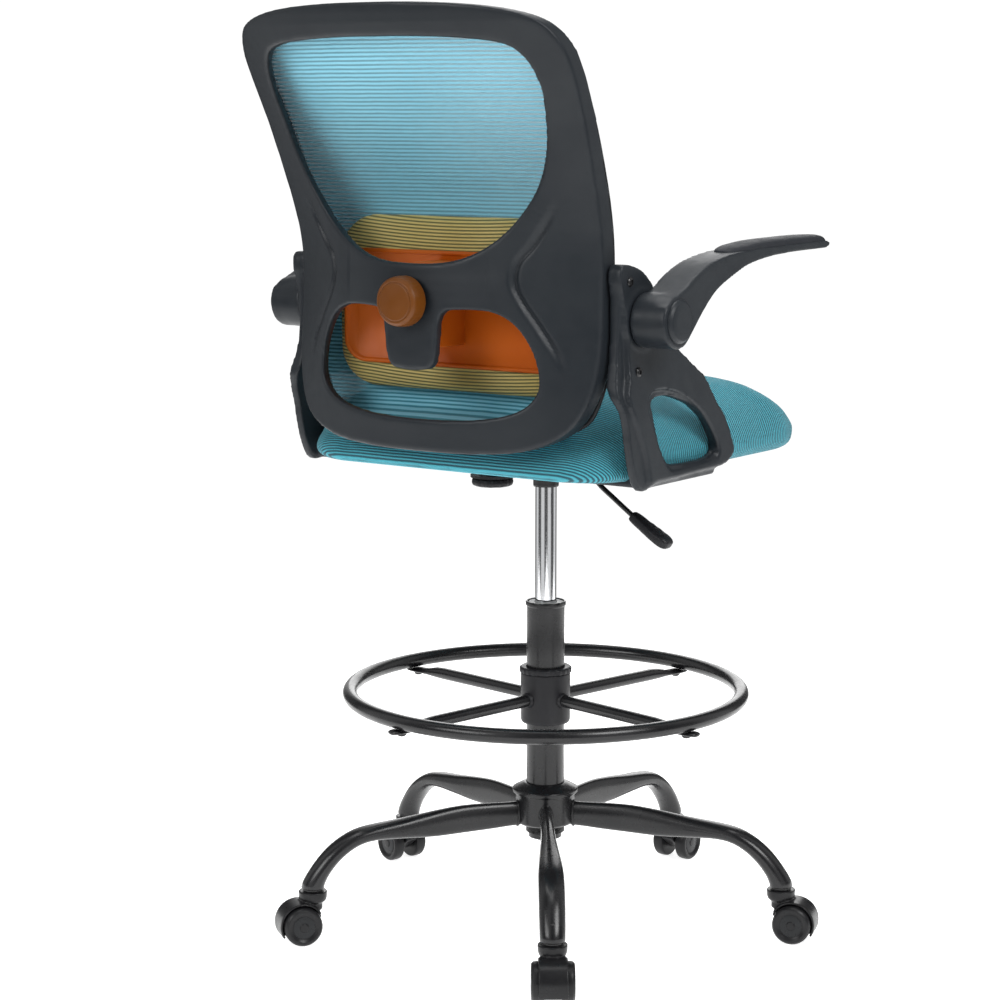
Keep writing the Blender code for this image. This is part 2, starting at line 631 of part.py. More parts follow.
def build_arm(side, sign, root, mats):
    y, z = ARM_HUB
    hole = arc((y, z), ARM_BORE_R, 0, 330, 11)
    bracket_mesh = slab_mesh(f"arm_bracket_{side}",
                             [[tuple(p) for p in smooth_curve(BRACKET_OUTLINE, 2)],
                              [tuple(p) for p in smooth_curve(BRACKET_OPENING, 2)], hole],
                             0.01, bracket_place(sign), grid=(0.040, 0.024))
    bracket = add_object(f"arm_bracket_{side}", bracket_mesh, mats["frame_plastic"], root)
    inner, outer = 0.150, 0.2560
    foot = box_object("foot", (min(sign * inner, sign * outer), 0.000, 0.6170),
                      (max(sign * inner, sign * outer), 0.168, 0.6300), mats["frame_plastic"], root)
    boolean(bracket, foot, "UNION")
    riser = box_object("riser", (min(sign * inner, sign * 0.2050), 0.010, 0.6250),
                       (max(sign * inner, sign * 0.2050), 0.150, PAN_Z[0] - GAP),
                       mats["frame_plastic"], root)
    boolean(bracket, riser, "UNION")

    x_in, x_out = ARM_X
    arm_mesh = slab_mesh(f"armrest_{side}", [arm_outline(), hole], 0.01,
                         lambda u, v, s: (sign * (x_out if s > 0 else x_in), u, v))
    arm = add_object(f"armrest_{side}", arm_mesh, mats["frame_plastic"], root)
    set_origin(arm, (0, y, z))

    pad_line = [Vector((p.x, p.y + GAP)) for p in smooth_curve(ARM_TOP[1:], 2, closed=False)
                if p.x < 0.070]
    lower = [tuple(p) for p in pad_line]
    upper = [(p.x, p.y + 0.0075 * min(1.0, 0.35 + i / 3.0, 0.35 + (len(pad_line) - 1 - i) / 2.0))
             for i, p in enumerate(pad_line)]
    pad_mesh = slab_mesh(f"arm_pad_{side}", [lower + upper[::-1]], 0.01,
                         lambda u, v, s: (sign * (0.3000 if s > 0 else 0.2530), u, v))
    set_origin(add_object(f"arm_pad_{side}", pad_mesh, mats["pad"], root), (0, y, z))

    turned(f"arm_pivot_{side}",
           [(0.0, 0.3065), (0.0225, 0.3060), (0.0235, 0.3050), (0.0235, ARM_X[1] + GAP),
            (0.0060, ARM_X[1] + GAP), (0.0060, 0.2310), (0.0, 0.2310)],
           mats["frame_plastic"], root, (0, y, z), (0, math.radians(90 * sign), 0), steps=20,
           closed=False)


# ---------------------------------------------------------------- back
EDGE_LINE = [  # height, y of the frame's rear edge along its sides
    (0.655, 0.236), (0.700, 0.232), (0.740, 0.226), (0.780, 0.222), (0.820, 0.218), (0.860, 0.216),
    (0.900, 0.217), (0.940, 0.227), (0.980, 0.242), (1.020, 0.258), (1.060, 0.275), (1.100, 0.296),
    (1.140, 0.317), (1.190, 0.343)]
BULGE = [  # height, how far the middle stands behind the sides
    (0.655, 0.042), (0.700, 0.052), (0.760, 0.070), (0.840, 0.079), (0.900, 0.075), (0.980, 0.062),
    (1.060, 0.052), (1.190, 0.042)]


def side_line(z):
    return interpolate(EDGE_LINE, z)


def half_width(z):
    return BACK_HALF_WIDTH + 0.055 * max(0.0, z - 0.88)


def rear_surface(x, z):
    """y of the back frame's rear surface."""
    across = min(abs(x) / half_width(z), 1.0)
    return side_line(z) + interpolate(BULGE, z) * (1.0 - across * across)


BACK_OUTLINE = [(0.000, 0.655), (0.090, 0.657), (0.150, 0.665), (0.196, 0.688), (0.219, 0.728),
                (0.228, 0.780), (0.228, 0.880), (0.232, 0.960), (0.238, 1.060), (0.240, 1.110),
                (0.235, 1.142), (0.215, 1.167), (0.170, 1.181), (0.100, 1.188)]
UPPER_OPENING = [(0.000, 0.884), (0.060, 0.889), (0.105, 0.908), (0.142, 0.940), (0.171, 0.980),
                 (0.187, 1.020), (0.195, 1.060), (0.198, 1.095), (0.189, 1.125), (0.165, 1.141),
                 (0.100, 1.148)]
LOWER_OPENING = [(0.000, 0.696), (0.080, 0.699), (0.135, 0.711), (0.160, 0.733), (0.162, 0.760),
                 (0.153, 0.790), (0.133, 0.817), (0.105, 0.830), (0.062, 0.831), (0.046, 0.826),
                 (0.040, 0.810), (0.038, 0.785), (0.032, 0.763), (0.016, 0.757)]


def mirrored_outline(half, top_centre, per_span=2):
    """Full closed outline from its +X half, which starts on the middle line."""
    left = [(-x, z) for x, z in reversed(half[1:])]
    points = half + ([top_centre] if top_centre else []) + left
    return [tuple(p) for p in smooth_curve(points, per_span)]


def outline_distance(x, z, outline):
    """Distance from a point to a closed outline."""
    best = 1.0
    for (x0, z0), (x1, z1) in zip(outline, outline[1:] + outline[:1]):
        dx, dz = x1 - x0, z1 - z0
        length = dx * dx + dz * dz
        t = 0.0 if length == 0 else min(max(((x - x0) * dx + (z - z0) * dz) / length, 0.0), 1.0)
        best = min(best, math.hypot(x - x0 - t * dx, z - z0 - t * dz))
    return best


def mesh_surface(x, z):
    """y of the middle of the stretched back mesh: flat over the lumbar pad, curved at both ends."""
    across = min(abs(x) / half_width(z), 1.0)
    edge = side_line(z) - 0.0322
    pressed = smoothstep(0.672, 0.700, z) * (1.0 - smoothstep(0.955, 1.150, z))
    free_bulge = interpolate(BULGE, z)
    middle = (0.165 - edge) * pressed + free_bulge * (1.0 - pressed)
    return edge + min(middle, free_bulge) * (1.0 - across * across)


def pad_front(x):
    """y of the lumbar pad's front face."""
    return 0.170 + 0.020 * (x / 0.172) ** 2


def build_back(root, mats):
    outer = mirrored_outline(BACK_OUTLINE, (0.0, BACK_Z[1]))
    upper = mirrored_outline(UPPER_OPENING, (0.0, 1.150))
    lower = mirrored_outline(LOWER_OPENING, None)
    shaft_hole = arc((0, KNOB_Z), 0.0065, 0, 330, 11)

    def place_frame(x, z, side):
        rim = 1.0 - smoothstep(0.010, 0.034, outline_distance(x, z, outer))
        rear = rear_surface(x, z)
        thickness = FRAME_THIN + (FRAME_RIM - FRAME_THIN) * rim
        return x, (rear if side > 0 else rear - thickness), z

    frame = slab_mesh("back_frame", [outer, upper, lower, shaft_hole], 0.01, place_frame,
                      grid=(0.038, 0.032))
    set_origin(add_object("back_frame", frame, mats["frame_plastic"], root), (0, TILT_Y, TILT_Z))

    def inset(points, amount):
        middle_z = (BACK_Z[0] + BACK_Z[1]) / 2
        return [(x * (1 - amount / 0.228), middle_z + (z - middle_z) * (1 - amount / 0.268))
                for x, z in points]

    def place_mesh(x, z, side):
        return x, mesh_surface(x, z) + side * 0.0012, z

    mesh = slab_mesh("back_mesh", [inset(outer[::1], 0.009)], 0.01, place_mesh, grid=(0.050, 0.020))
    set_origin(add_object("back_mesh", mesh, mats["mesh_fabric"], root), (0, TILT_Y, TILT_Z))


def lumbar_outline(half_x, half_z, corner, sag, middle=PAD_TRAVEL_Z):
    """Rounded pad outline whose lower and upper edges bow outward by sag."""
    points = []
    for sx, sz, start in ((1, 1, 0), (-1, 1, 90), (-1, -1, 180), (1, -1, 270)):
        centre = (sx * (half_x - corner), middle + sz * (half_z - corner - sag))
        points += arc(centre, corner, start, start + 90, 4)
    return [(x, z + math.copysign(sag * (1 - (x / half_x) ** 2), z - middle))
            if abs(x) < half_x - corner + 1e-6 else (x, z) for x, z in points]


def build_lumbar(root, mats):
    def place_cushion(x, z, side):
        front = pad_front(x)
        return x, (front if side < 0 else front + 0.020), z

    cushion = slab_mesh("lumbar_cushion", [lumbar_outline(0.174, 0.107, 0.050, 0.006)], 0.01,
                        place_cushion, grid=(0.040, 0.110))
    add_object("lumbar_cushion", cushion, mats["lumbar_fabric"], root)

    def place_plate(x, z, side):
        front = pad_front(x) + 0.020 + GAP
        return x, (front if side < 0 else front + 0.004), z

    plate_line = lumbar_outline(0.163, 0.0715, 0.030, 0.003, PLATE_MIDDLE_Z)
    plate_mesh = slab_mesh("lumbar_plate", [plate_line], 0.01, place_plate, grid=(0.040, 0.150))
    plate = add_object("lumbar_plate", plate_mesh, mats["lumbar_plastic"], root)
    boss = box_object("boss", (-0.022, 0.1925, 0.780), (0.022, 0.2680, 0.885), mats["lumbar_plastic"],
                      root)
    boolean(plate, boss, "UNION")
    rack = box_object("rack", (0.0100, 0.2600, 0.785), (0.0200, 0.2755, 0.880),
                      mats["lumbar_plastic"], root)
    boolean(plate, rack, "UNION")

    turned("lumbar_knob",
           [(0.0, 0.3228), (0.0250, 0.3228), (0.0275, 0.3215), (0.0300, 0.3170), (0.0310, 0.3100),
            (0.0310, 0.2985), (0.0058, 0.2985), (0.0058, 0.2760), (0.0097, 0.2760),
            (0.0097, 0.2685), (0.0, 0.2685)],
           mats["knob"], root, (0, 0, KNOB_Z), (math.radians(-90), 0, 0), steps=24, closed=False)


# ---------------------------------------------------------------- assembly
def make_materials():
    return {
        "frame_metal": make_material("frame_metal", (0.012, 0.013, 0.015), 0.32, 0.0),
        "caster_plastic": make_material("caster_plastic", (0.012, 0.012, 0.013), 0.35),
        "wheel": make_material("wheel", (0.010, 0.010, 0.011), 0.30),
        "steel": make_material("steel", (0.55, 0.55, 0.56), 0.30, 1.0),
        "steel_black": make_material("steel_black", (0.015, 0.015, 0.016), 0.30, 0.0),
        "chrome": make_material("chrome", (0.80, 0.81, 0.83), 0.08, 1.0),
        "bush": make_material("bush", (0.50, 0.50, 0.50), 0.45),
        "mechanism": make_material("mechanism", (0.014, 0.014, 0.015), 0.40),
        "frame_plastic": make_material("frame_plastic", (0.040, 0.044, 0.050), 0.50),
        "pad": make_material("pad", (0.030, 0.033, 0.038), 0.60),
        "seat_fabric": make_material("seat_fabric", (0.060, 0.270, 0.340), 0.90),
        "mesh_fabric": make_material("mesh_fabric", (0.120, 0.380, 0.500), 0.85),
        "lumbar_fabric": make_material("lumbar_fabric", (0.500, 0.420, 0.180), 0.90),
        "lumbar_plastic": make_material("lumbar_plastic", (0.420, 0.070, 0.008), 0.40),
        "knob": make_material("knob", (0.240, 0.090, 0.018), 0.35),
    }


def main():
    clear_scene()
    root = bpy.data.objects.new("chair", None)
    CHAIR.objects.link(root)
    root.location = (0, COLUMN_Y, 0)
    mats = make_materials()
    build_base(root, mats)
    build_column(root, mats)
    build_foot_ring(root, mats)
    build_mechanism(root, mats)
    build_lever(root, mats)
    build_seat(root, mats)
    for side, sign in (("right", -1), ("left", 1)):
        build_arm(side, sign, root, mats)
    build_back(root, mats)
    build_lumbar(root, mats)
    bpy.context.view_layer.update()


main()
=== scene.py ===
"""Looks of the drafting chair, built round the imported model.

Shapes are drawn in the column's frame (column axis at x = y = 0, the sitter faces -Y, the sitter's
left is +X) and shifted by OFFSET into the row's frame.  Units are metres.
"""
import math

import bmesh
import bpy
from mathutils import Matrix, Vector


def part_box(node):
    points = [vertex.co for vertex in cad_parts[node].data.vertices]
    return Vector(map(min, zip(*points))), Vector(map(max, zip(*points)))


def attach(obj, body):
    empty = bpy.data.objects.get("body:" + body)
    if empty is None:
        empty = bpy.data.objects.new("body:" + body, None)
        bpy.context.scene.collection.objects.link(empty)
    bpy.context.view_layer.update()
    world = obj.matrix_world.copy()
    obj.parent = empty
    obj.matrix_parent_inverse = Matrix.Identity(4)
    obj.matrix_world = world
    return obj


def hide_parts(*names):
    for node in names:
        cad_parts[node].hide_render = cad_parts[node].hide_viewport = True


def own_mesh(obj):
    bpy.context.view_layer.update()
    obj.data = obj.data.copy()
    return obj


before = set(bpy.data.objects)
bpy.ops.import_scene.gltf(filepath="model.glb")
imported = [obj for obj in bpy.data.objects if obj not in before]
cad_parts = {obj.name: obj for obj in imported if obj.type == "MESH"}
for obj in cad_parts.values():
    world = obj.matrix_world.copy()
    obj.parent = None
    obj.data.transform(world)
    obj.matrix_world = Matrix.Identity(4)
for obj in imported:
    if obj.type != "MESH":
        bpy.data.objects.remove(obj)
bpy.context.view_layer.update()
OFFSET = Vector((0.0, -0.0095, 0.0))


# ---------------------------------------------------------------- camera, light and floor
CAMERA_PLACE = (-1.8882, 2.768, 1.0759)
CAMERA_FORWARD = (0.57153, -0.80644, -0.15171)
CAMERA_UP = (0.08772, -0.12378, 0.98842)
CAMERA_LENS = 93.55
BACKDROP_LEVEL = 1.05   # the plain white backdrop, as the camera sees it
PANEL_COUNT = 5.0       # soft light panels standing round the chair
PANEL_LEVEL = 0.75
GAP_LEVEL = 0.1         # between the panels
FLOOR_HALF = 1.8
FLOOR_GLOW = 0.85       # keeps the floor white without a visible edge


def in_scene(obj):
    bpy.context.scene.collection.objects.link(obj)
    return obj


def look_camera():
    data = bpy.data.cameras.new("camera")
    data.sensor_width = 36.0
    data.lens = CAMERA_LENS
    camera = in_scene(bpy.data.objects.new("camera", data))
    forward, up = Vector(CAMERA_FORWARD), Vector(CAMERA_UP)
    turn = Matrix((forward.cross(up), up, -forward)).transposed().to_4x4()
    camera.matrix_world = Matrix.Translation(Vector(CAMERA_PLACE) + OFFSET) @ turn
    bpy.context.scene.camera = camera


def area_light(name, location, target, size, power):
    data = bpy.data.lights.new(name, "AREA")
    data.shape = "RECTANGLE"
    data.size, data.size_y = size
    data.energy = power
    light = in_scene(bpy.data.objects.new(name, data))
    light.location = location
    light.rotation_euler = (Vector(target) - Vector(location)).to_track_quat("-Z", "Y").to_euler()


def surroundings():
    """White to the camera; to everything else, light panels with dark gaps between them."""
    world = bpy.data.worlds.new("world")
    bpy.context.scene.world = world
    world.use_nodes = True
    nodes, links = world.node_tree.nodes, world.node_tree.links

    def step(kind, sources=(), operation=None, **values):
        node = nodes.new(kind)
        if operation:
            node.operation = operation
        for socket, source in zip(node.inputs, sources):
            links.new(source, socket)
        for key, value in values.items():
            node.inputs[key.replace("_", " ")].default_value = value
        return node

    direction = step("ShaderNodeTexCoord").outputs["Generated"]
    split = step("ShaderNodeSeparateXYZ", [direction]).outputs
    turn = step("ShaderNodeMath", [split["Y"], split["X"]], "ARCTAN2").outputs["Value"]
    wave = step("ShaderNodeMath", [turn], "MULTIPLY")
    wave.inputs[1].default_value = PANEL_COUNT
    panels = step("ShaderNodeMath", [wave.outputs["Value"]], "SINE").outputs["Value"]
    soft = step("ShaderNodeMapRange", [panels], From_Min=-0.5, From_Max=0.5, To_Min=GAP_LEVEL,
                To_Max=PANEL_LEVEL).outputs["Result"]
    seen = step("ShaderNodeLightPath").outputs["Is Camera Ray"]
    level = step("ShaderNodeMapRange", [seen], To_Max=BACKDROP_LEVEL)
    links.new(soft, level.inputs["To Min"])
    background = nodes["Background"]
    background.inputs["Color"].default_value = (1.0, 1.0, 1.0, 1.0)
    links.new(level.outputs["Result"], background.inputs["Strength"])


def studio():
    bpy.context.scene.view_settings.view_transform = "Standard"
    area_light("key", (-2.6, 0.6, 2.6), (0, 0, 0.7), (1.4, 1.4), 62)
    area_light("rear_fill", (0.8, 3.2, 2.0), (0, 0, 0.7), (1.6, 1.2), 40)
    area_light("top", (0.2, 0.0, 3.2), (0, 0, 0.5), (2.0, 2.0), 46)
    area_light("front_fill", (1.6, -2.8, 1.4), (0, 0, 0.6), (2.0, 2.0), 24)
    surroundings()
    bm = bmesh.new()
    bmesh.ops.create_grid(bm, x_segments=2, y_segments=2, size=FLOOR_HALF)
    mesh = bpy.data.meshes.new("floor")
    bm.to_mesh(mesh)
    bm.free()
    floor = in_scene(bpy.data.objects.new("floor", mesh))
    mat = bpy.data.materials.new("floor")
    mat.use_nodes = True
    shader = mat.node_tree.nodes["Principled BSDF"]
    for key, value in (("Base Color", (0.93, 0.93, 0.925, 1)), ("Roughness", 1.0),
                       ("Specular IOR Level", 0.0), ("Emission Color", (1, 1, 1, 1)),
                       ("Emission Strength", FLOOR_GLOW)):
        shader.inputs[key].default_value = value
    mesh.materials.append(mat)


# ---------------------------------------------------------------- materials
class Nodes:
    """Small helper for building one material's node tree."""

    def __init__(self, name):
        self.mat = bpy.data.materials.new(name)
        self.mat.use_nodes = True
        self.tree = self.mat.node_tree
        self.shader = self.tree.nodes["Principled BSDF"]
        self.place = self.add("ShaderNodeTexCoord").outputs["Object"]

    def add(self, kind, **settings):
        node = self.tree.nodes.new(kind)
        for key, value in settings.items():
            setattr(node, key, value)
        return node

    def link(self, source, target):
        self.tree.links.new(source, target)

    def put(self, target, value):
        if hasattr(value, "is_output"):
            self.link(value, target)
        else:
            target.default_value = value

    def noise(self, scale, detail=3.0, vector=None):
        node = self.add("ShaderNodeTexNoise")
        self.link(vector if vector is not None else self.place, node.inputs["Vector"])
        node.inputs["Scale"].default_value = scale
        node.inputs["Detail"].default_value = detail
        return node.outputs["Fac"]

    def math(self, operation, *values):
        node = self.add("ShaderNodeMath", operation=operation)
        for socket, value in zip(node.inputs, values):
            self.put(socket, value)
        return node.outputs["Value"]

    def axes(self, vector=None):
        node = self.add("ShaderNodeSeparateXYZ")
        self.link(vector if vector is not None else self.place, node.inputs["Vector"])
        return node.outputs["X"], node.outputs["Y"], node.outputs["Z"]

    def remap(self, value, low, high, to_low, to_high, smooth=False):
        node = self.add("ShaderNodeMapRange")
        if smooth:
            node.interpolation_type = "SMOOTHSTEP"
        for key, v in (("Value", value), ("From Min", low), ("From Max", high),
                       ("To Min", to_low), ("To Max", to_high)):
            self.put(node.inputs[key], v)
        return node.outputs["Result"]

    def blend(self, factor, first, second):
        node = self.add("ShaderNodeMix", data_type="RGBA")
        self.put(node.inputs["Factor"], factor)
        for socket, color in ((node.inputs[6], first), (node.inputs[7], second)):
            self.put(socket, (*color, 1.0) if isinstance(color, tuple) else color)
        return node.outputs[2]

    def bump(self, height, distance, strength=1.0, normal=None):
        node = self.add("ShaderNodeBump")
        self.link(height, node.inputs["Height"])
        node.inputs["Distance"].default_value = distance
        node.inputs["Strength"].default_value = strength
        if normal is not None:
            self.link(normal, node.inputs["Normal"])
        return node.outputs["Normal"]

    def set(self, **values):
        names = {"color": "Base Color", "rough": "Roughness", "metal": "Metallic",
                 "normal": "Normal", "coat": "Coat Weight", "coat_rough": "Coat Roughness",
                 "sheen": "Sheen Weight", "sheen_rough": "Sheen Roughness", "alpha": "Alpha",
                 "specular": "Specular IOR Level"}
        for key, value in values.items():
            if isinstance(value, tuple):
                value = (*value, 1.0)
            self.put(self.shader.inputs[names[key]], value)
        return self.mat


def moulded_plastic(name, dark, light, rough, grain=1400.0, depth=0.00012):
    """Spark-eroded moulded plastic: fine grain, slow colour and gloss drift."""
    n = Nodes(name)
    drift = n.remap(n.noise(9.0, 3.0), 0.3, 0.7, 0.0, 1.0)
    color = n.blend(drift, dark, light)
    fine = n.noise(grain, 2.0)
    broad = n.noise(60.0, 3.0)
    gloss = n.remap(broad, 0.3, 0.7, rough - 0.05, rough + 0.06)
    return n.set(color=color, rough=gloss, normal=n.bump(fine, depth, 0.35), specular=0.24)


def painted_metal(name, dark, light, rough):
    """Powder coat over steel: orange peel under a semi-gloss skin."""
    n = Nodes(name)
    color = n.blend(n.remap(n.noise(14.0), 0.35, 0.65, 0.0, 1.0), dark, light)
    peel = n.noise(420.0, 2.0)
    gloss = n.remap(n.noise(45.0), 0.3, 0.7, rough - 0.04, rough + 0.05)
    return n.set(color=color, rough=gloss, normal=n.bump(peel, 0.0001, 0.3), coat=0.1,
                 coat_rough=0.18, specular=0.34)


def polished_metal(name, color, rough, along=(1, 1, 40)):
    """Chrome or zinc with faint drawing marks."""
    n = Nodes(name)
    mapping = n.add("ShaderNodeMapping")
    n.link(n.place, mapping.inputs["Vector"])
    mapping.inputs["Scale"].default_value = along
    marks = n.noise(60.0, 4.0, mapping.outputs["Vector"])
    gloss = n.remap(marks, 0.3, 0.7, rough * 0.7, rough * 1.5)
    tint = n.blend(n.remap(marks, 0.35, 0.65, 0.0, 1.0), color, tuple(c * 0.9 for c in color))
    return n.set(color=tint, rough=gloss, metal=1.0, normal=n.bump(marks, 0.00003, 0.2))


def stripes(n, coordinate, pitch, duty=0.5, soft=0.12):
    """0 to 1 bands of the given pitch along a coordinate."""
    phase = n.math("FRACT", n.math("DIVIDE", coordinate, pitch))
    wave = n.math("ABSOLUTE", n.math("SUBTRACT", phase, 0.5))
    return n.remap(wave, duty / 2 - soft / 2, duty / 2 + soft / 2, 1.0, 0.0, smooth=True)


def back_mesh_material():
    """Elastic knitted mesh: light weft ribs with dark open courses and fine warp threads."""
    n = Nodes("back_mesh_weave")
    x, _, z = n.axes()
    wobble = n.math("MULTIPLY", n.math("SUBTRACT", n.noise(30.0, 2.0), 0.5), 0.001)
    rows = n.math("ADD", z, wobble)
    rib = stripes(n, rows, 0.0048, 0.58, 0.2)
    warp = stripes(n, x, 0.0016, 0.55, 0.4)
    patch = n.remap(n.noise(7.0, 2.0), 0.3, 0.7, 0.0, 1.0)
    light = n.blend(patch, (0.215, 0.58, 0.74), (0.275, 0.65, 0.8))
    dark = n.blend(warp, (0.026, 0.215, 0.3), (0.055, 0.31, 0.405))
    color = n.blend(rib, dark, light)
    thin = n.math("MULTIPLY", n.remap(z, 0.86, 1.08, 0.0, 1.0, smooth=True),
                  n.remap(x, 0.1, -0.16, 0.25, 1.0, smooth=True))
    open_course = n.math("SUBTRACT", 0.72, n.math("MULTIPLY", thin, 0.42))
    closed_course = n.math("SUBTRACT", 0.96, n.math("MULTIPLY", thin, 0.1))
    cover = n.math("MAXIMUM", rib, n.math("MULTIPLY", warp, 0.6))
    alpha = n.remap(cover, 0.0, 1.0, open_course, closed_course)
    height = n.math("ADD", rib, n.math("MULTIPLY", warp, 0.35))
    return n.set(color=color, rough=0.62, alpha=alpha, normal=n.bump(height, 0.0006, 0.7),
                 sheen=0.25, sheen_rough=0.4)


def seat_fabric_material():
    """Ribbed upholstery mesh over foam; the ribs run across the seat and fan round its corners."""
    n = Nodes("seat_ribbed_fabric")
    x, y, z = n.axes()
    near_rear = n.remap(y, 0.06, 0.205, 0.0, 1.0, smooth=True)
    drop = n.math("MULTIPLY", n.math("SUBTRACT", 0.72, z), near_rear)
    wobble = n.math("MULTIPLY", n.math("SUBTRACT", n.noise(22.0, 2.0), 0.5), 0.0016)
    near_front = n.remap(y, -0.215, -0.29, 0.0, 1.0, smooth=True)
    fall = n.math("MULTIPLY", n.math("SUBTRACT", 0.7, z), near_front)
    run = n.math("SUBTRACT", n.math("ADD", n.math("ADD", y, drop), wobble), fall)
    rib = stripes(n, run, 0.0046, 0.5, 0.24)
    thread = stripes(n, x, 0.0014, 0.55, 0.45)
    patch = n.remap(n.noise(8.0, 2.0), 0.3, 0.7, 0.0, 1.0)
    light = n.blend(patch, (0.036, 0.315, 0.395), (0.052, 0.36, 0.445))
    dark = n.blend(thread, (0.004, 0.046, 0.066), (0.009, 0.082, 0.112))
    color = n.blend(rib, dark, light)
    height = n.math("ADD", rib, n.math("MULTIPLY", thread, 0.3))
    return n.set(color=color, rough=0.8, normal=n.bump(height, 0.0009, 0.8), sheen=0.1,
                 sheen_rough=0.45)


def lumbar_fabric_material():
    """Straw-coloured ribbed cover, olive in its grooves."""
    n = Nodes("lumbar_ribbed_fabric")
    x, _, z = n.axes()
    bow = n.math("MULTIPLY", n.math("MULTIPLY", x, x), -0.35)
    rib = stripes(n, n.math("ADD", z, bow), 0.0042, 0.55, 0.25)
    thread = stripes(n, x, 0.0015, 0.55, 0.45)
    patch = n.remap(n.noise(12.0, 2.0), 0.3, 0.7, 0.0, 1.0)
    light = n.blend(patch, (0.58, 0.44, 0.13), (0.66, 0.52, 0.19))
    dark = n.blend(thread, (0.1, 0.11, 0.035), (0.17, 0.16, 0.06))
    height = n.math("ADD", rib, n.math("MULTIPLY", thread, 0.3))
    return n.set(color=n.blend(rib, dark, light), rough=0.85, normal=n.bump(height, 0.0008, 0.8),
                 sheen=0.1, sheen_rough=0.5)


def make_materials():
    return {
        "plastic": moulded_plastic("charcoal_plastic", (0.012, 0.015, 0.019),
                                   (0.0175, 0.021, 0.025), 0.4),
        "plastic_dark": moulded_plastic("black_plastic", (0.01, 0.01, 0.012),
                                        (0.015, 0.015, 0.017), 0.42),
        "pad": moulded_plastic("soft_touch_pad", (0.012, 0.014, 0.018), (0.018, 0.02, 0.025),
                               0.58, 900.0, 0.00018),
        "knob": moulded_plastic("knob_plastic", (0.115, 0.034, 0.003), (0.155, 0.048, 0.005), 0.38),
        "plate": moulded_plastic("lumbar_plate_plastic", (0.42, 0.075, 0.003),
                                 (0.5, 0.1, 0.005), 0.45),
        "caster": moulded_plastic("caster_plastic", (0.008, 0.008, 0.009), (0.012, 0.012, 0.013),
                                  0.3),
        "wheel": moulded_plastic("wheel_tread", (0.007, 0.007, 0.008), (0.012, 0.012, 0.013), 0.34),
        "hub_grey": moulded_plastic("wheel_disc", (0.008, 0.009, 0.01), (0.012, 0.013, 0.015),
                                    0.28),
        "metal": painted_metal("black_powder_coat", (0.007, 0.007, 0.008), (0.012, 0.012, 0.013),
                               0.26),
        "mechanism": painted_metal("mechanism_paint", (0.009, 0.009, 0.01), (0.014, 0.014, 0.015),
                                   0.36),
        "chrome": polished_metal("chrome_cylinder", (0.78, 0.79, 0.81), 0.08),
        "zinc": polished_metal("zinc_steel", (0.55, 0.55, 0.56), 0.28, (8, 8, 8)),
        "bush": moulded_plastic("bush_acetal", (0.46, 0.46, 0.45), (0.54, 0.54, 0.53), 0.42),
        "mesh": back_mesh_material(),
        "seat": seat_fabric_material(),
        "lumbar": lumbar_fabric_material(),
    }


# ---------------------------------------------------------------- shape helpers
def smoothstep(low, high, value):
    t = min(max((value - low) / (high - low), 0.0), 1.0)
    return t * t * (3.0 - 2.0 * t)


def interpolate(table, value):
    if value <= table[0][0]:
        return table[0][1]
    for (k0, v0), (k1, v1) in zip(table, table[1:]):
        if value <= k1:
            return v0 + (v1 - v0) * (value - k0) / (k1 - k0)
    return table[-1][1]


def smooth_curve(points, per_span=4, closed=True):
    """Catmull-Rom points through a short outline."""
    count = len(points)
    result = []
    for i in range(count if closed else count - 1):
        if closed:
            p0, p1, p2, p3 = (Vector(points[(i + k - 1) % count]) for k in range(4))
        else:
            p0, p1, p2, p3 = (Vector(points[min(max(i + k - 1, 0), count - 1)]) for k in range(4))
        for step in range(per_span):
            t = step / per_span
            result.append(0.5 * ((2 * p1) + (p2 - p0) * t + (2 * p0 - 5 * p1 + 4 * p2 - p3) * t * t
                                 + (3 * p1 - p0 - 3 * p2 + p3) * t ** 3))
    if not closed:
        result.append(Vector(points[-1]))
    return result


def arc(centre, radius, start, end, steps):
    return [(centre[0] + radius * math.cos(math.radians(start + (end - start) * i / steps)),
             centre[1] + radius * math.sin(math.radians(start + (end - start) * i / steps)))
            for i in range(steps + 1)]


def soften(points, amount, closed=False, steps=3):
    """Rounds the corners of a flat line of points."""
    result = []
    count = len(points)
    for i, point in enumerate(points):
        if not closed and i in (0, count - 1):
            result.append(tuple(point))
            continue
        here = Vector(point)
        before = Vector(points[i - 1]) - here
        after = Vector(points[(i + 1) % count]) - here
        a = here + before.normalized() * min(amount, before.length * 0.49)
        b = here + after.normalized() * min(amount, after.length * 0.49)
        for k in range(steps + 1):
            t = k / steps
            result.append(tuple(a * (1 - t) ** 2 + here * 2 * t * (1 - t) + b * t * t))
    return result


def tidy_mesh(bm, name, sharp=40.0):
    bmesh.ops.recalc_face_normals(bm, faces=bm.faces)
    mesh = bpy.data.meshes.new(name)
    bm.to_mesh(mesh)
    bm.free()
    mesh.shade_smooth()
    if sharp:
        mesh.set_sharp_from_angle(angle=math.radians(sharp))
    return mesh


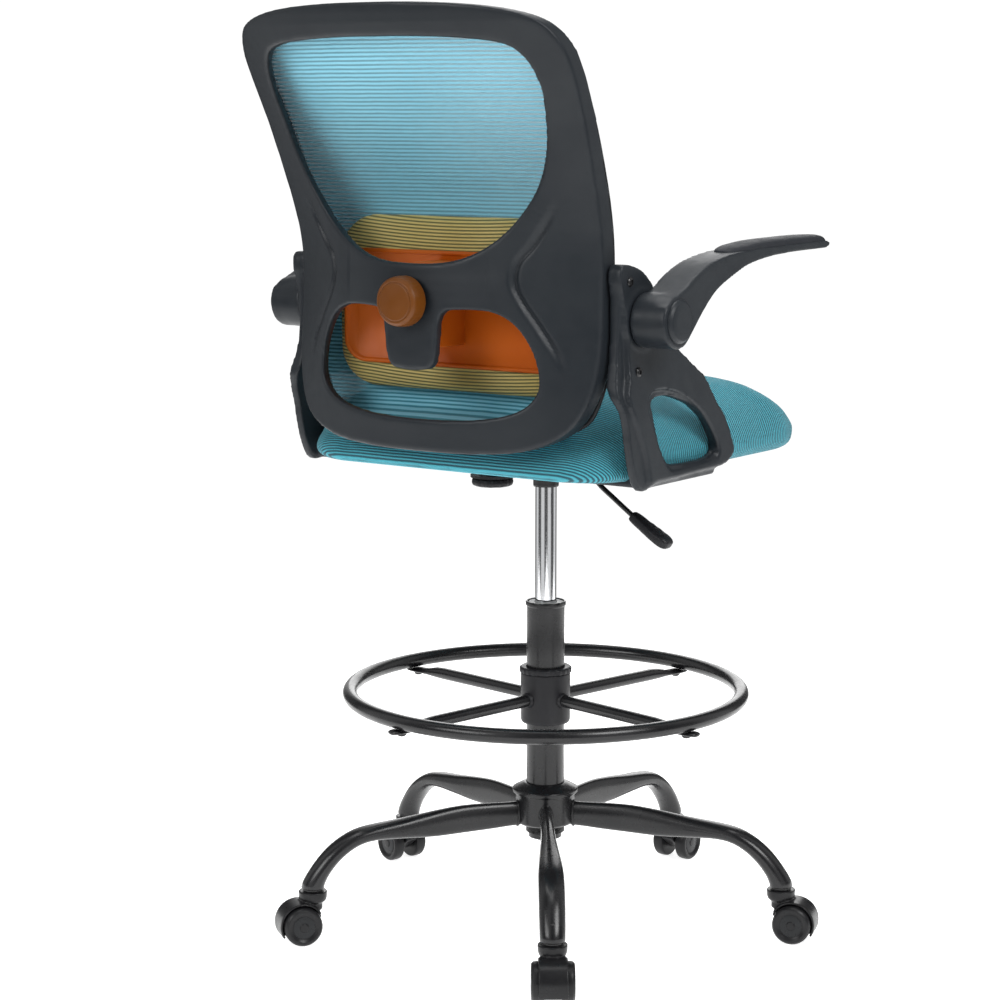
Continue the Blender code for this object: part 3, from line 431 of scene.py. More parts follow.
def turned(profile, steps=48, closed=False, place=None, sharp=35.0):
    """(radius, height) profile turned round Z; an open one starts and ends on the axis."""
    bm = bmesh.new()
    rings = []
    for r, z in profile:
        if r < 1e-6:
            rings.append([bm.verts.new((0, 0, z))])
        else:
            rings.append([bm.verts.new((r * math.cos(2 * math.pi * i / steps),
                                        r * math.sin(2 * math.pi * i / steps), z))
                          for i in range(steps)])
    pairs = list(zip(rings, rings[1:])) + ([(rings[-1], rings[0])] if closed else [])
    for low, high in pairs:
        for i in range(steps):
            j = (i + 1) % steps
            if len(low) == 1 and len(high) == 1:
                continue
            if len(low) == 1:
                bm.faces.new((low[0], high[j], high[i]))
            elif len(high) == 1:
                bm.faces.new((low[i], low[j], high[0]))
            else:
                bm.faces.new((low[i], low[j], high[j], high[i]))
    if place is not None:
        bm.transform(place)
    return tidy_mesh(bm, "turned", sharp)


def loft(rings, cap=True, sharp=40.0):
    """Closed skin through rings of equally many points."""
    bm = bmesh.new()
    rows = [[bm.verts.new(p) for p in ring] for ring in rings]
    count = len(rows[0])
    for low, high in zip(rows, rows[1:]):
        for i in range(count):
            j = (i + 1) % count
            bm.faces.new((low[i], low[j], high[j], high[i]))
    if cap:
        bm.faces.new(rows[0][::-1])
        bm.faces.new(rows[-1])
    return tidy_mesh(bm, "loft", sharp)


def sweep(points, radius, sides=14, cyclic=False, squash=1.0):
    """Tube along a line of points; radius is a number or a list along it."""
    points = [Vector(p) for p in points]
    count = len(points)
    rings = []
    across = None
    for i, point in enumerate(points):
        before = points[i - 1] if (i or cyclic) else points[i]
        after = points[(i + 1) % count] if (i < count - 1 or cyclic) else points[i]
        along = (after - before).normalized()
        if across is None:
            across = along.orthogonal().normalized()
        across = (across - along * across.dot(along)).normalized()
        other = along.cross(across)
        r = radius[i] if isinstance(radius, (list, tuple)) else radius
        rings.append([point + across * r * math.cos(a) + other * r * squash * math.sin(a)
                      for a in (2 * math.pi * k / sides for k in range(sides))])
    if not cyclic:
        return loft(rings)
    bm = bmesh.new()
    rows = [[bm.verts.new(p) for p in ring] for ring in rings]
    first, last = rings[0], rings[-1]
    shift = min(range(sides), key=lambda s: (first[s] - last[0]).length)
    for n, low in enumerate(rows):
        high = rows[(n + 1) % count]
        turn = shift if n == count - 1 else 0
        for i in range(sides):
            j = (i + 1) % sides
            bm.faces.new((low[i], low[j], high[(j + turn) % sides], high[(i + turn) % sides]))
    return tidy_mesh(bm, "tube", None)


def flat_slab(outlines, low, high, grid=None):
    """Filled flat outline with holes between two heights, optionally cut on a grid."""
    curve = bpy.data.curves.new("slab", "CURVE")
    curve.dimensions = "2D"
    curve.fill_mode = "BOTH"
    curve.extrude = 0.01
    for outline in outlines:
        spline = curve.splines.new("POLY")
        spline.points.add(len(outline) - 1)
        for point, where in zip(spline.points, outline):
            point.co = (where[0], where[1], 0.0, 1.0)
        spline.use_cyclic_u = True
    holder = in_scene(bpy.data.objects.new("slab", curve))
    depsgraph = bpy.context.evaluated_depsgraph_get()
    mesh = bpy.data.meshes.new_from_object(holder.evaluated_get(depsgraph))
    bpy.data.objects.remove(holder, do_unlink=True)
    bpy.data.curves.remove(curve)
    bm = bmesh.new()
    bm.from_mesh(mesh)
    bmesh.ops.remove_doubles(bm, verts=bm.verts, dist=0.00001)
    if grid:
        for axis in (0, 1):
            values = [v.co[axis] for v in bm.verts]
            first, last = min(values), max(values)
            cells = max(1, round((last - first) / grid))
            normal = Vector((axis == 0, axis == 1, 0))
            for i in range(1, cells):
                cut = normal * (first + (last - first) * i / cells)
                bmesh.ops.bisect_plane(bm, geom=bm.verts[:] + bm.edges[:] + bm.faces[:],
                                       dist=0.00005, plane_co=cut, plane_no=normal)
    for vert in bm.verts:
        vert.co.z = high if vert.co.z > 0 else low
    return tidy_mesh(bm, "slab", None)


def moved(mesh, matrix):
    mesh.transform(matrix)
    return mesh


def mapped(mesh, function):
    """Moves every vertex of a mesh by function(x, y, z)."""
    for vert in mesh.vertices:
        vert.co = function(*vert.co)
    mesh.update()
    return mesh


def joined(meshes, name="joined"):
    bm = bmesh.new()
    for mesh in meshes:
        bm.from_mesh(mesh)
        bpy.data.meshes.remove(mesh)
    result = bpy.data.meshes.new(name)
    bm.to_mesh(result)
    bm.free()
    return result


def with_modifiers(mesh, *settings):
    """Runs modifiers on a mesh and gives the result."""
    holder = in_scene(bpy.data.objects.new("holder", mesh))
    for kind, values in settings:
        modifier = holder.modifiers.new(kind, kind)
        for key, value in values.items():
            setattr(modifier, key, value)
    depsgraph = bpy.context.evaluated_depsgraph_get()
    depsgraph.update()
    result = bpy.data.meshes.new_from_object(holder.evaluated_get(depsgraph))
    bpy.data.objects.remove(holder, do_unlink=True)
    bpy.data.meshes.remove(mesh)
    return result


def moulded(meshes, voxel, rounds=6, factor=0.5):
    """One moulded skin over overlapping solids, with softened edges."""
    mesh = with_modifiers(joined(meshes),
                          ("REMESH", {"mode": "VOXEL", "voxel_size": voxel,
                                      "use_smooth_shade": True}),
                          ("SMOOTH", {"factor": factor, "iterations": rounds}))
    mesh.shade_smooth()
    return mesh


def rounded_box(low, high, bevel, segments=3, place=None):
    bm = bmesh.new()
    bmesh.ops.create_cube(bm, size=1.0)
    bmesh.ops.scale(bm, vec=Vector(high) - Vector(low), verts=bm.verts)
    bmesh.ops.translate(bm, vec=(Vector(high) + Vector(low)) / 2, verts=bm.verts)
    bmesh.ops.bevel(bm, geom=bm.edges[:], offset=bevel, segments=segments, affect="EDGES",
                    profile=0.5)
    if place is not None:
        bm.transform(place)
    return tidy_mesh(bm, "box", 50.0)


def bolt_head(location, direction, radius=0.0045, height=0.003, socket=True):
    """Button-head screw with a hexagon socket, its head standing along direction."""
    dome = [(0.0, height), (radius * 0.55, height), (radius * 0.85, height * 0.75),
            (radius, height * 0.3), (radius, -0.002), (0.0, -0.002)]
    if socket:
        dome = [(0.0, height * 0.45), (radius * 0.42, height * 0.45)] + [
            (radius * 0.46, height)] + dome[1:]
    turn = Vector(direction).to_track_quat("Z", "Y").to_matrix().to_4x4()
    return turned(dome, 16, place=Matrix.Translation(location) @ turn)


def piece(name, mesh, body, material, replaces=()):
    """Puts a mesh drawn in the column's frame into the scene, on a body."""
    mesh.name = name
    mesh.transform(Matrix.Translation(OFFSET))
    mesh.materials.clear()
    mesh.materials.append(material)
    obj = in_scene(bpy.data.objects.new(name, mesh))
    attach(obj, body)
    if replaces:
        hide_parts(*replaces)
    return obj


def repaint(node, material):
    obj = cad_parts[node]
    if obj.material_slots:
        for entry in obj.material_slots:
            entry.link = "OBJECT"
            entry.material = material
    else:
        obj.data.materials.append(material)


def around_z(degrees):
    return Matrix.Rotation(math.radians(degrees), 4, "Z")


# ---------------------------------------------------------------- base and casters
LEG_TIP_R = 0.319
WHEEL_TRAIL = 0.018
WHEEL_R = 0.025
LEG_STATIONS = [  # distance from the column, height, half width, half depth
    (0.035, 0.1445, 0.008, 0.016), (0.055, 0.1443, 0.008, 0.0165),
    (0.075, 0.144, 0.0082, 0.0175), (0.115, 0.1433, 0.009, 0.0185),
    (0.155, 0.1405, 0.0108, 0.0172), (0.195, 0.1385, 0.0132, 0.0135),
    (0.235, 0.1366, 0.0152, 0.0105), (0.26, 0.1315, 0.0162, 0.0104),
    (0.281, 0.12, 0.0164, 0.011), (0.297, 0.106, 0.0164, 0.0116),
    (0.309, 0.091, 0.0162, 0.0122), (0.316, 0.079, 0.016, 0.0135),
    (LEG_TIP_R, 0.0712, 0.0158, 0.015)]


def leg_mesh():
    """Pressed steel leg, round at its tip."""
    stations = [tuple(s) for s in smooth_curve([Vector(s) for s in LEG_STATIONS], 3, closed=False)]
    rings = []
    sides = 28
    last = len(stations) - 1
    for i, (r, z, half_width, half_depth) in enumerate(stations):
        before, after = stations[max(i - 1, 0)], stations[min(i + 1, last)]
        along = Vector((after[0] - before[0], 0, after[1] - before[1])).normalized()
        if i == 0:
            along = Vector((1, 0, 0))
        if i == last:
            along = Vector((0, 0, -1))
        upward = Vector((-along.z, 0, along.x))
        power = 0.86 + 0.14 * smoothstep(0.22, 0.31, r)
        ring = []
        for k in range(sides):
            a = 2 * math.pi * k / sides
            c, s = math.cos(a), math.sin(a)
            ring.append(Vector((r, 0, z))
                        + Vector((0, math.copysign(abs(c) ** power, c) * half_width, 0))
                        + upward * math.copysign(abs(s) ** power, s) * half_depth)
        rings.append(ring)
    inner = [Vector((LEG_TIP_R + (p.x - LEG_TIP_R) * 0.93, p.y * 0.93, 0.07)) for p in rings[-1]]
    rings.append(inner)
    return loft(rings, sharp=60.0)


def wheel_mesh():
    """Caster wheel with a rounded tread, a recessed disc and a hub boss."""
    tread = soften([(0.0, 0.0262), (0.0052, 0.0262), (0.0062, 0.0246), (0.015, 0.024),
                    (0.0172, 0.0252), (0.0192, 0.0266), (0.0222, 0.0266), (0.0247, 0.0238),
                    (0.025, 0.0205), (0.025, 0.015), (0.0246, 0.012), (0.023, 0.0106),
                    (0.0048, 0.0106), (0.0048, 0.02), (0.0, 0.02)], 0.0007)
    return turned(tread, 56)


def caster_cover():
    """Hood over the wheels with its web, barrel and collar, drawn trailing along +X."""
    def upright(mesh):
        return moved(mesh, Matrix.Translation((WHEEL_TRAIL, 0, WHEEL_R))
                     @ Matrix.Rotation(math.radians(90), 4, "X"))

    crown = arc((0, 0), 0.0292, -30, 150, 36)
    shell = crown + arc((0, 0), 0.0262, 150, -30, 36)
    outer = upright(flat_slab([shell], -0.018, 0.018))
    web = upright(flat_slab([arc((0, 0), 0.0285, -30, 165, 36) + arc((0, 0), 0.0115, 210, 300, 10)],
                            -0.0086, 0.0086))
    barrel = turned([(0.0, 0.042), (0.0125, 0.042), (0.0125, 0.0505), (0.017, 0.054),
                     (0.0182, 0.058), (0.0186, 0.0665), (0.0, 0.0665)], 40)
    return moulded([outer, web, barrel], 0.0011, 4)


def build_base(m):
    hub = soften([(0.0255, 0.118), (0.0255, 0.129), (0.035, 0.129), (0.0392, 0.1325),
                  (0.0392, 0.17), (0.0432, 0.1715), (0.0436, 0.1768), (0.03, 0.1838),
                  (0.0272, 0.185), (0.0255, 0.185)], 0.0018)
    piece("hub_skin", turned(hub, 72, closed=True), "base", m["metal"], ["base_hub"])
    cover = caster_cover()
    wheel = wheel_mesh()
    for number in range(1, 6):
        angle = -90.0 + 72.0 * (number - 1)
        turn = around_z(angle)
        piece(f"leg_skin_{number}", moved(leg_mesh(), turn), "base", m["metal"],
              [f"base_leg_{number}"])
        weld = sweep([Vector((0.0392, 0.0084 * math.cos(a), 0.1445 + 0.0165 * math.sin(a)))
                      for a in (2 * math.pi * k / 28 for k in range(28))], 0.0017, 8, cyclic=True)
        piece(f"leg_weld_{number}", moved(weld, turn), "base", m["metal"])
        at_tip = turn @ Matrix.Translation((LEG_TIP_R, 0, 0))
        piece(f"caster_skin_{number}", moved(cover.copy(), at_tip), f"caster_{number}",
              m["caster"], [f"caster_hood_{number}"])
        repaint(f"caster_stem_{number}", m["metal"])
        for side, tilt in (("left", -90), ("right", 90)):
            put = at_tip @ Matrix.Translation((WHEEL_TRAIL, 0, WHEEL_R)) @ Matrix.Rotation(
                math.radians(tilt), 4, "X")
            piece(f"wheel_skin_{side}_{number}", moved(wheel.copy(), put), f"wheels_{number}",
                  m["wheel"], [f"caster_wheel_{side}_{number}"])
            disc = turned(soften([(0.0056, 0.0252), (0.0064, 0.025), (0.0146, 0.0245),
                                  (0.015, 0.0236), (0.0056, 0.0236)], 0.0002, closed=True), 48,
                          closed=True)
            piece(f"wheel_disc_{side}_{number}", moved(disc, put), f"wheels_{number}",
                  m["hub_grey"])


# ---------------------------------------------------------------- column and foot ring
def build_column(m):
    tube = soften([(0.0236, 0.423), (0.0236, 0.427), (0.0242, 0.4285), (0.0256, 0.4285),
                   (0.0264, 0.4272), (0.0264, 0.4232), (0.025, 0.4215), (0.025, 0.132),
                   (0.0222, 0.127), (0.022, 0.1102), (0.0055, 0.1102), (0.0055, 0.1135),
                   (0.0205, 0.1135), (0.0205, 0.128), (0.0236, 0.132)], 0.0006, closed=True)
    piece("column_skin", turned(tube, 72, closed=True), "base", m["metal"],
          ["column_tube"])
    bush = soften([(0.0144, 0.34), (0.0144, 0.4262), (0.0152, 0.4275), (0.0222, 0.4275),
                   (0.0231, 0.4266), (0.0231, 0.34)], 0.0006, closed=True)
    piece("bush_skin", turned(bush, 64, closed=True), "base", m["bush"], ["column_bush"])
    repaint("piston_rod", m["zinc"])
    cylinder = soften([(0.0036, 0.617), (0.012, 0.617), (0.0125, 0.616), (0.014, 0.585),
                       (0.014, 0.264), (0.013, 0.2622), (0.0058, 0.2622), (0.0058, 0.54),
                       (0.0036, 0.545)], 0.0005, closed=True)
    piece("cylinder_skin", turned(cylinder, 64, closed=True), "gas_lift", m["chrome"],
          ["gas_cylinder"])
    repaint("valve_button", m["zinc"])


def build_foot_ring(m):
    radius, height = 0.2576, 0.3083
    steps = 120
    turns = [2 * math.pi * i / steps for i in range(steps)]
    circle = [(radius * math.cos(t), radius * math.sin(t), height) for t in turns]
    piece("ring_skin", sweep(circle, 0.0096, 20, cyclic=True), "foot_ring",
          m["metal"], ["foot_ring"])
    collar = soften([(0.0254, 0.333), (0.032, 0.333), (0.0326, 0.3322), (0.0326, 0.27),
                     (0.0312, 0.2665), (0.0254, 0.2665)], 0.0012, closed=True)
    piece("collar_skin", turned(collar, 72, closed=True), "foot_ring",
          m["plastic_dark"], ["foot_ring_collar"])
    nut_profile = soften([(0.0254, 0.3412), (0.032, 0.3412), (0.0343, 0.3398), (0.0343, 0.3336),
                          (0.0254, 0.3336)], 0.001, closed=True)
    nut = turned(nut_profile, 144, closed=True)
    for vert in nut.vertices:
        r = math.hypot(vert.co.x, vert.co.y)
        if r > 0.0325:
            notch = 1.0 - 0.02 * (math.cos(24 * math.atan2(vert.co.y, vert.co.x)) > 0.3)
            vert.co.x *= notch
            vert.co.y *= notch
    piece("nut_skin", nut, "lock_nut", m["plastic_dark"], ["foot_ring_lock_nut"])
    flat = height - 0.0096 - 0.0032
    stations = [(0.032, 0.299, 0.008, 0.008), (0.09, 0.2987, 0.008, 0.008),
                (0.15, 0.2984, 0.008, 0.008), (0.2, 0.2981, 0.008, 0.0079),
                (0.215, 0.2976, 0.0086, 0.007), (0.227, 0.2968, 0.0104, 0.0048),
                (0.237, flat + 0.0004, 0.0121, 0.0032), (0.245, flat, 0.0125, 0.0029),
                (0.256, flat, 0.0125, 0.0029), (0.264, flat, 0.0108, 0.0029),
                (0.269, flat, 0.007, 0.0027), (0.2705, flat, 0.003, 0.0018)]
    sides = 20
    spoke = loft([[Vector((r, a * math.cos(t), z + b * math.sin(t)))
                   for t in (2 * math.pi * k / sides for k in range(sides))]
                  for r, z, a, b in stations], sharp=60)
    for i in range(4):
        turn = around_z(78.7 + 90 * i)
        piece(f"spoke_skin_{i + 1}", moved(spoke.copy(), turn), "foot_ring",
              m["metal"], [f"foot_ring_spoke_{i + 1}"])
        screw = bolt_head((0.252, 0, flat - 0.0026), (0, 0, -1), 0.0062, 0.0042)
        piece(f"spoke_bolt_{i + 1}", moved(screw, turn), "foot_ring", m["metal"])
        boss = turned(soften([(0.0, 0.0), (0.0105, 0.0), (0.0092, 0.004), (0.0, 0.004)], 0.0008),
                      28, place=Matrix.Translation((0.0318, 0, 0.299))
                      @ Matrix.Rotation(math.radians(90), 4, "Y"))
        piece(f"spoke_collar_{i + 1}", moved(boss, turn), "foot_ring",
              m["plastic_dark"])


# ---------------------------------------------------------------- mechanism under the seat
def build_mechanism(m):
    for node in ("tilt_housing", "seat_plate"):
        repaint(node, m["mechanism"])
    repaint("tilt_pin", m["zinc"])
    spring = bpy.data.objects.new("tilt_spring_coil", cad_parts["tilt_spring"].data.copy())
    spring.data.materials.clear()
    spring.data.materials.append(m["zinc"])
    bpy.context.scene.collection.objects.link(spring)
    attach(spring, "swivel")
    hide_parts("tilt_spring")
    low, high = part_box("tilt_spring")
    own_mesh(spring)
    socket = soften([(0.0146, 0.5806), (0.0162, 0.5806), (0.0168, 0.582), (0.0168, 0.59),
                     (0.0182, 0.591), (0.0182, 0.6062), (0.0146, 0.6062)], 0.0007, closed=True)
    piece("socket_skin", turned(socket, 56, closed=True), "swivel", m["mechanism"])
    for x in (-0.08, 0.08):
        for y in (-0.095, 0.135):
            piece(f"plate_bolt_{'l' if x > 0 else 'r'}{'f' if y < 0 else 'r'}",
                  bolt_head((x, y, 0.6412), (0, 0, -1), 0.0058, 0.0045), "seat", m["zinc"])
    low = 0.6065
    knob = turned(soften([(0.0, low + 0.016), (0.0046, low + 0.016), (0.0046, low - 0.0003),
                          (0.0235, low - 0.0003), (0.0258, low - 0.002), (0.0264, low - 0.006),
                          (0.0255, low - 0.0095), (0.0215, low - 0.0112), (0.012, low - 0.0108),
                          (0.0, low - 0.0108)], 0.0009), 96)
    for vert in knob.vertices:
        if vert.co.z < low - 0.001 and math.hypot(vert.co.x, vert.co.y) > 0.022:
            angle = math.atan2(vert.co.y, vert.co.x)
            scale = 1.0 - 0.055 * max(0.0, math.cos(12 * angle)) ** 3
            vert.co.x *= scale
            vert.co.y *= scale
    piece("tension_knob_skin", moved(knob, Matrix.Translation((0, 0.12, 0))), "tension_knob",
          m["plastic_dark"], ["tilt_tension_knob"])

    route = [(0.005, 0.6265), (-0.04, 0.6265), (-0.058, 0.624), (-0.07, 0.608),
             (-0.082, 0.5905), (-0.105, 0.5735), (-0.136, 0.5518)]
    rod = sweep([(p.x, 0.0, p.y) for p in smooth_curve(route, 6, closed=False)], 0.0034, 14)
    piece("lever_rod_skin", rod, "lever", m["metal"], ["lever_rod"])
    start = Vector((-0.1325, 0, 0.554))
    along = Vector((-0.056, 0, -0.034)).normalized()
    across = Vector((0, 1, 0))
    upward = along.cross(across)
    stations = [(0.0, 0.0052, 0.0052, 0), (0.002, 0.0068, 0.0066, 0), (0.009, 0.008, 0.0072, 0),
                (0.016, 0.0092, 0.0072, 0), (0.024, 0.0104, 0.007, 1), (0.029, 0.011, 0.0076, 0),
                (0.035, 0.0118, 0.0072, 1), (0.04, 0.0123, 0.0078, 0), (0.046, 0.0127, 0.0074, 1),
                (0.052, 0.0127, 0.0078, 0), (0.059, 0.0119, 0.0074, 0), (0.064, 0.0098, 0.0062, 0),
                (0.0668, 0.0066, 0.0042, 0)]
    rings = []
    for s, a, b, groove in stations:
        ring = []
        for k in range(24):
            t = 2 * math.pi * k / 24
            c, q = math.cos(t), math.sin(t)
            side = math.copysign(abs(c) ** 0.55, c) * a
            rise = math.copysign(abs(q) ** 0.55, q) * b * (0.86 if groove and q < 0 else 1.0)
            ring.append(start + along * s + across * side + upward * rise)
        rings.append(ring)
    paddle = with_modifiers(loft(rings, sharp=None), ("SUBSURF", {"levels": 1, "render_levels": 1}))
    paddle.shade_smooth()
    piece("lever_paddle_skin", paddle, "lever", m["plastic_dark"],
          ["lever_paddle"])


# ---------------------------------------------------------------- seat
def rounded_plan(half_width, front, rear, corner_front, corner_rear, steps=10):
    points = arc((half_width - corner_rear, rear - corner_rear), corner_rear, 0, 90, steps)
    points += arc((-half_width + corner_rear, rear - corner_rear), corner_rear, 90, 180, steps)
    points += arc((-half_width + corner_front, front + corner_front), corner_front, 180, 270, steps)
    points += arc((half_width - corner_front, front + corner_front), corner_front, 270, 360, steps)
    return points


def inflate(mesh, voxel, pressure, cap, keep_below=None):
    """Swells a closed foam shape with cloth pressure; no point moves further than cap."""
    mesh = with_modifiers(mesh, ("REMESH", {"mode": "VOXEL", "voxel_size": voxel}))
    start = [v.co.copy() for v in mesh.vertices]
    obj = in_scene(bpy.data.objects.new("inflating", mesh))
    if keep_below is not None:
        group = obj.vertex_groups.new(name="pin")
        group.add([v.index for v in mesh.vertices if v.co.z < keep_below], 1.0, "REPLACE")
    cloth = obj.modifiers.new("cloth", "CLOTH")
    cloth.settings.quality = 4
    cloth.settings.use_pressure = True
    cloth.settings.uniform_pressure_force = pressure
    cloth.settings.effector_weights.gravity = 0.0
    cloth.settings.tension_stiffness = 30.0
    cloth.settings.bending_stiffness = 2.0
    if keep_below is not None:
        cloth.settings.vertex_group_mass = "pin"
    cloth.point_cache.frame_start = 1
    cloth.point_cache.frame_end = 20
    scene = bpy.context.scene
    for number in range(1, 21):
        scene.frame_set(number)
    depsgraph = bpy.context.evaluated_depsgraph_get()
    swollen = bpy.data.meshes.new_from_object(obj.evaluated_get(depsgraph))
    bpy.data.objects.remove(obj, do_unlink=True)
    scene.frame_set(1)
    for vert, before in zip(swollen.vertices, start):
        move = vert.co - before
        if move.length > cap:
            vert.co = before + move.normalized() * cap
    bpy.data.meshes.remove(mesh)
    mesh = swollen
    mesh = with_modifiers(mesh, ("SMOOTH", {"factor": 0.5, "iterations": 6}),
                          ("SUBSURF", {"levels": 1, "render_levels": 1}))
    mesh.shade_smooth()
    return mesh


def build_seat(m):
    sections = [  # inset at the sides and front, inset at the rear, height
        (0.014, 0.012, 0.624), (0.006, 0.005, 0.627), (0.002, 0.002, 0.635),
        (0.001, 0.005, 0.643), (0.0, 0.012, 0.652), (0.001, 0.027, 0.662),
        (0.005, 0.041, 0.683), (0.018, 0.074, 0.701), (0.045, 0.09, 0.712),
        (0.09, 0.115, 0.7185), (0.15, 0.16, 0.721)]
    rings = []
    for inset, rear_inset, z in sections:
        plan = rounded_plan(0.244 - inset, -0.299 + inset, 0.228 - rear_inset,
                            max(0.105 - inset * 0.4, 0.02), max(0.075 - inset * 0.3, 0.02))
        lift = smoothstep(0.625, 0.712, z)
        rings.append([Vector((x, y, z - 0.024 * smoothstep(0.0, 1.0, (-0.1 - y) / 0.2) * lift))
                      for x, y in plan])
    cushion = inflate(loft(rings, sharp=None), 0.0065, 2.5, 0.006, keep_below=0.63)
    pocket = bpy.data.objects.new("pocket", flat_slab(
        [rounded_plan(0.2165, -0.2715, 0.1765, 0.08, 0.05, 12)], 0.6, 0.657))
    bpy.context.scene.collection.objects.link(pocket)
    cushion = with_modifiers(cushion, ("BOOLEAN", {"operation": "DIFFERENCE", "solver": "EXACT",
                                                   "object": pocket}))
    bpy.data.objects.remove(pocket, do_unlink=True)
    seat = piece("seat_cushion_cover", cushion, "seat", m["seat"], ["seat_cushion"])

    repaint("seat_pan", m["plastic_dark"])


# ---------------------------------------------------------------- arms
ARM_HUB = (0.163, 0.82)       # y and z of the pivot
ARM_MIDDLE = 0.276            # distance of the armrest from the chair's middle
ARM_HUB_R = 0.033
BRACKET_FRONT = [  # y, z from the fin's top forward and down to the foot
    (0.185, 0.885), (0.1602, 0.8764), (0.1376, 0.8574), (0.126, 0.835), (0.115, 0.809),
    (0.095, 0.79), (0.0715, 0.7736), (0.0429, 0.753), (0.0283, 0.7419), (0.009, 0.711),
    (-0.0125, 0.6903), (-0.0253, 0.6702), (-0.0357, 0.6502), (-0.0347, 0.6402),
    (-0.0189, 0.63), (0.0031, 0.627), (0.0488, 0.626), (0.0957, 0.625)]
OUTER_REAR = [  # rear edge of the outer face, upwards
    (0.1416, 0.624), (0.16, 0.6224), (0.165, 0.642), (0.174, 0.667), (0.1875, 0.692),
    (0.201, 0.715), (0.205, 0.735), (0.1965, 0.753), (0.194, 0.787), (0.197, 0.81),
    (0.204, 0.846), (0.211, 0.87), (0.206, 0.886)]
INNER_REAR = [  # rear edge of the inner flange, upwards
    (0.145, 0.619), (0.174, 0.6165), (0.19, 0.64), (0.199, 0.67), (0.2033, 0.6925),
    (0.211, 0.716), (0.218, 0.735), (0.2105, 0.763), (0.2066, 0.798), (0.2061, 0.845),
    (0.21, 0.87), (0.206, 0.886)]
WINDOW_OUTER = [(0.1624, 0.7228), (0.1534, 0.7314), (0.132, 0.7349), (0.1037, 0.7306),
                (0.0721, 0.7181), (0.0432, 0.6982), (0.0187, 0.6747), (0.0037, 0.6544),
                (0.0034, 0.6419), (0.0177, 0.636), (0.0488, 0.6345), (0.0958, 0.633),
                (0.112, 0.6345), (0.1236, 0.643), (0.1401, 0.6655), (0.154, 0.691),
                (0.163, 0.712)]
WINDOW_INNER = [(0.15, 0.719), (0.13, 0.7255), (0.1054, 0.7238), (0.0704, 0.7132),
                (0.0467, 0.7011), (0.0298, 0.6896), (0.0175, 0.6759), (0.0055, 0.6596),
                (0.004, 0.6467), (0.0215, 0.6401), (0.0572, 0.6391), (0.0923, 0.64),
                (0.115, 0.644), (0.129, 0.66), (0.143, 0.69)]
ARM_TOP = [(0.162, 0.852), (0.144, 0.8595), (0.124, 0.871), (0.088, 0.8845),
           (0.0414, 0.893), (-0.006, 0.8965), (-0.055, 0.8982), (-0.105, 0.899),
           (-0.156, 0.8995), (-0.208, 0.8992)]
ARM_BOTTOM = [(-0.2165, 0.8965), (-0.212, 0.8915), (-0.196, 0.89), (-0.156, 0.8898), (-0.1, 0.8885),
              (-0.0496, 0.8855), (-0.0004, 0.8785), (0.0355, 0.8675), (0.0707, 0.854),
              (0.0937, 0.839), (0.1164, 0.8191)]


def arm_solid(outline, x_inner, x_outer, sign):
    """Upright slab of a (y, z) outline between two distances from the middle."""
    mesh = flat_slab([[tuple(p) for p in ring] for ring in outline], x_inner, x_outer, 0.008)
    return mapped(mesh, lambda u, v, w: Vector((sign * w, u, v)))


def bracket_inner(z):
    return 0.2455 - 0.0155 * smoothstep(0.705, 0.755, z)


def bracket_outer(z):
    return 0.262 - 0.013 * smoothstep(0.7, 0.79, z)


def bracket_leaf(rear, window, low, high, sign):
    """One leaf of the bracket; low and high are shares of its thickness at each height."""
    outline = smooth_curve([Vector(p) for p in BRACKET_FRONT + rear], 4)
    opening = smooth_curve([Vector(p) for p in window], 4)

    def place(x, y, z):
        inner, outer = bracket_inner(z), bracket_outer(z)
        return Vector((sign * (inner + (outer - inner) * abs(x)), y, z))

    return mapped(arm_solid([outline, opening], low, high, sign), place)


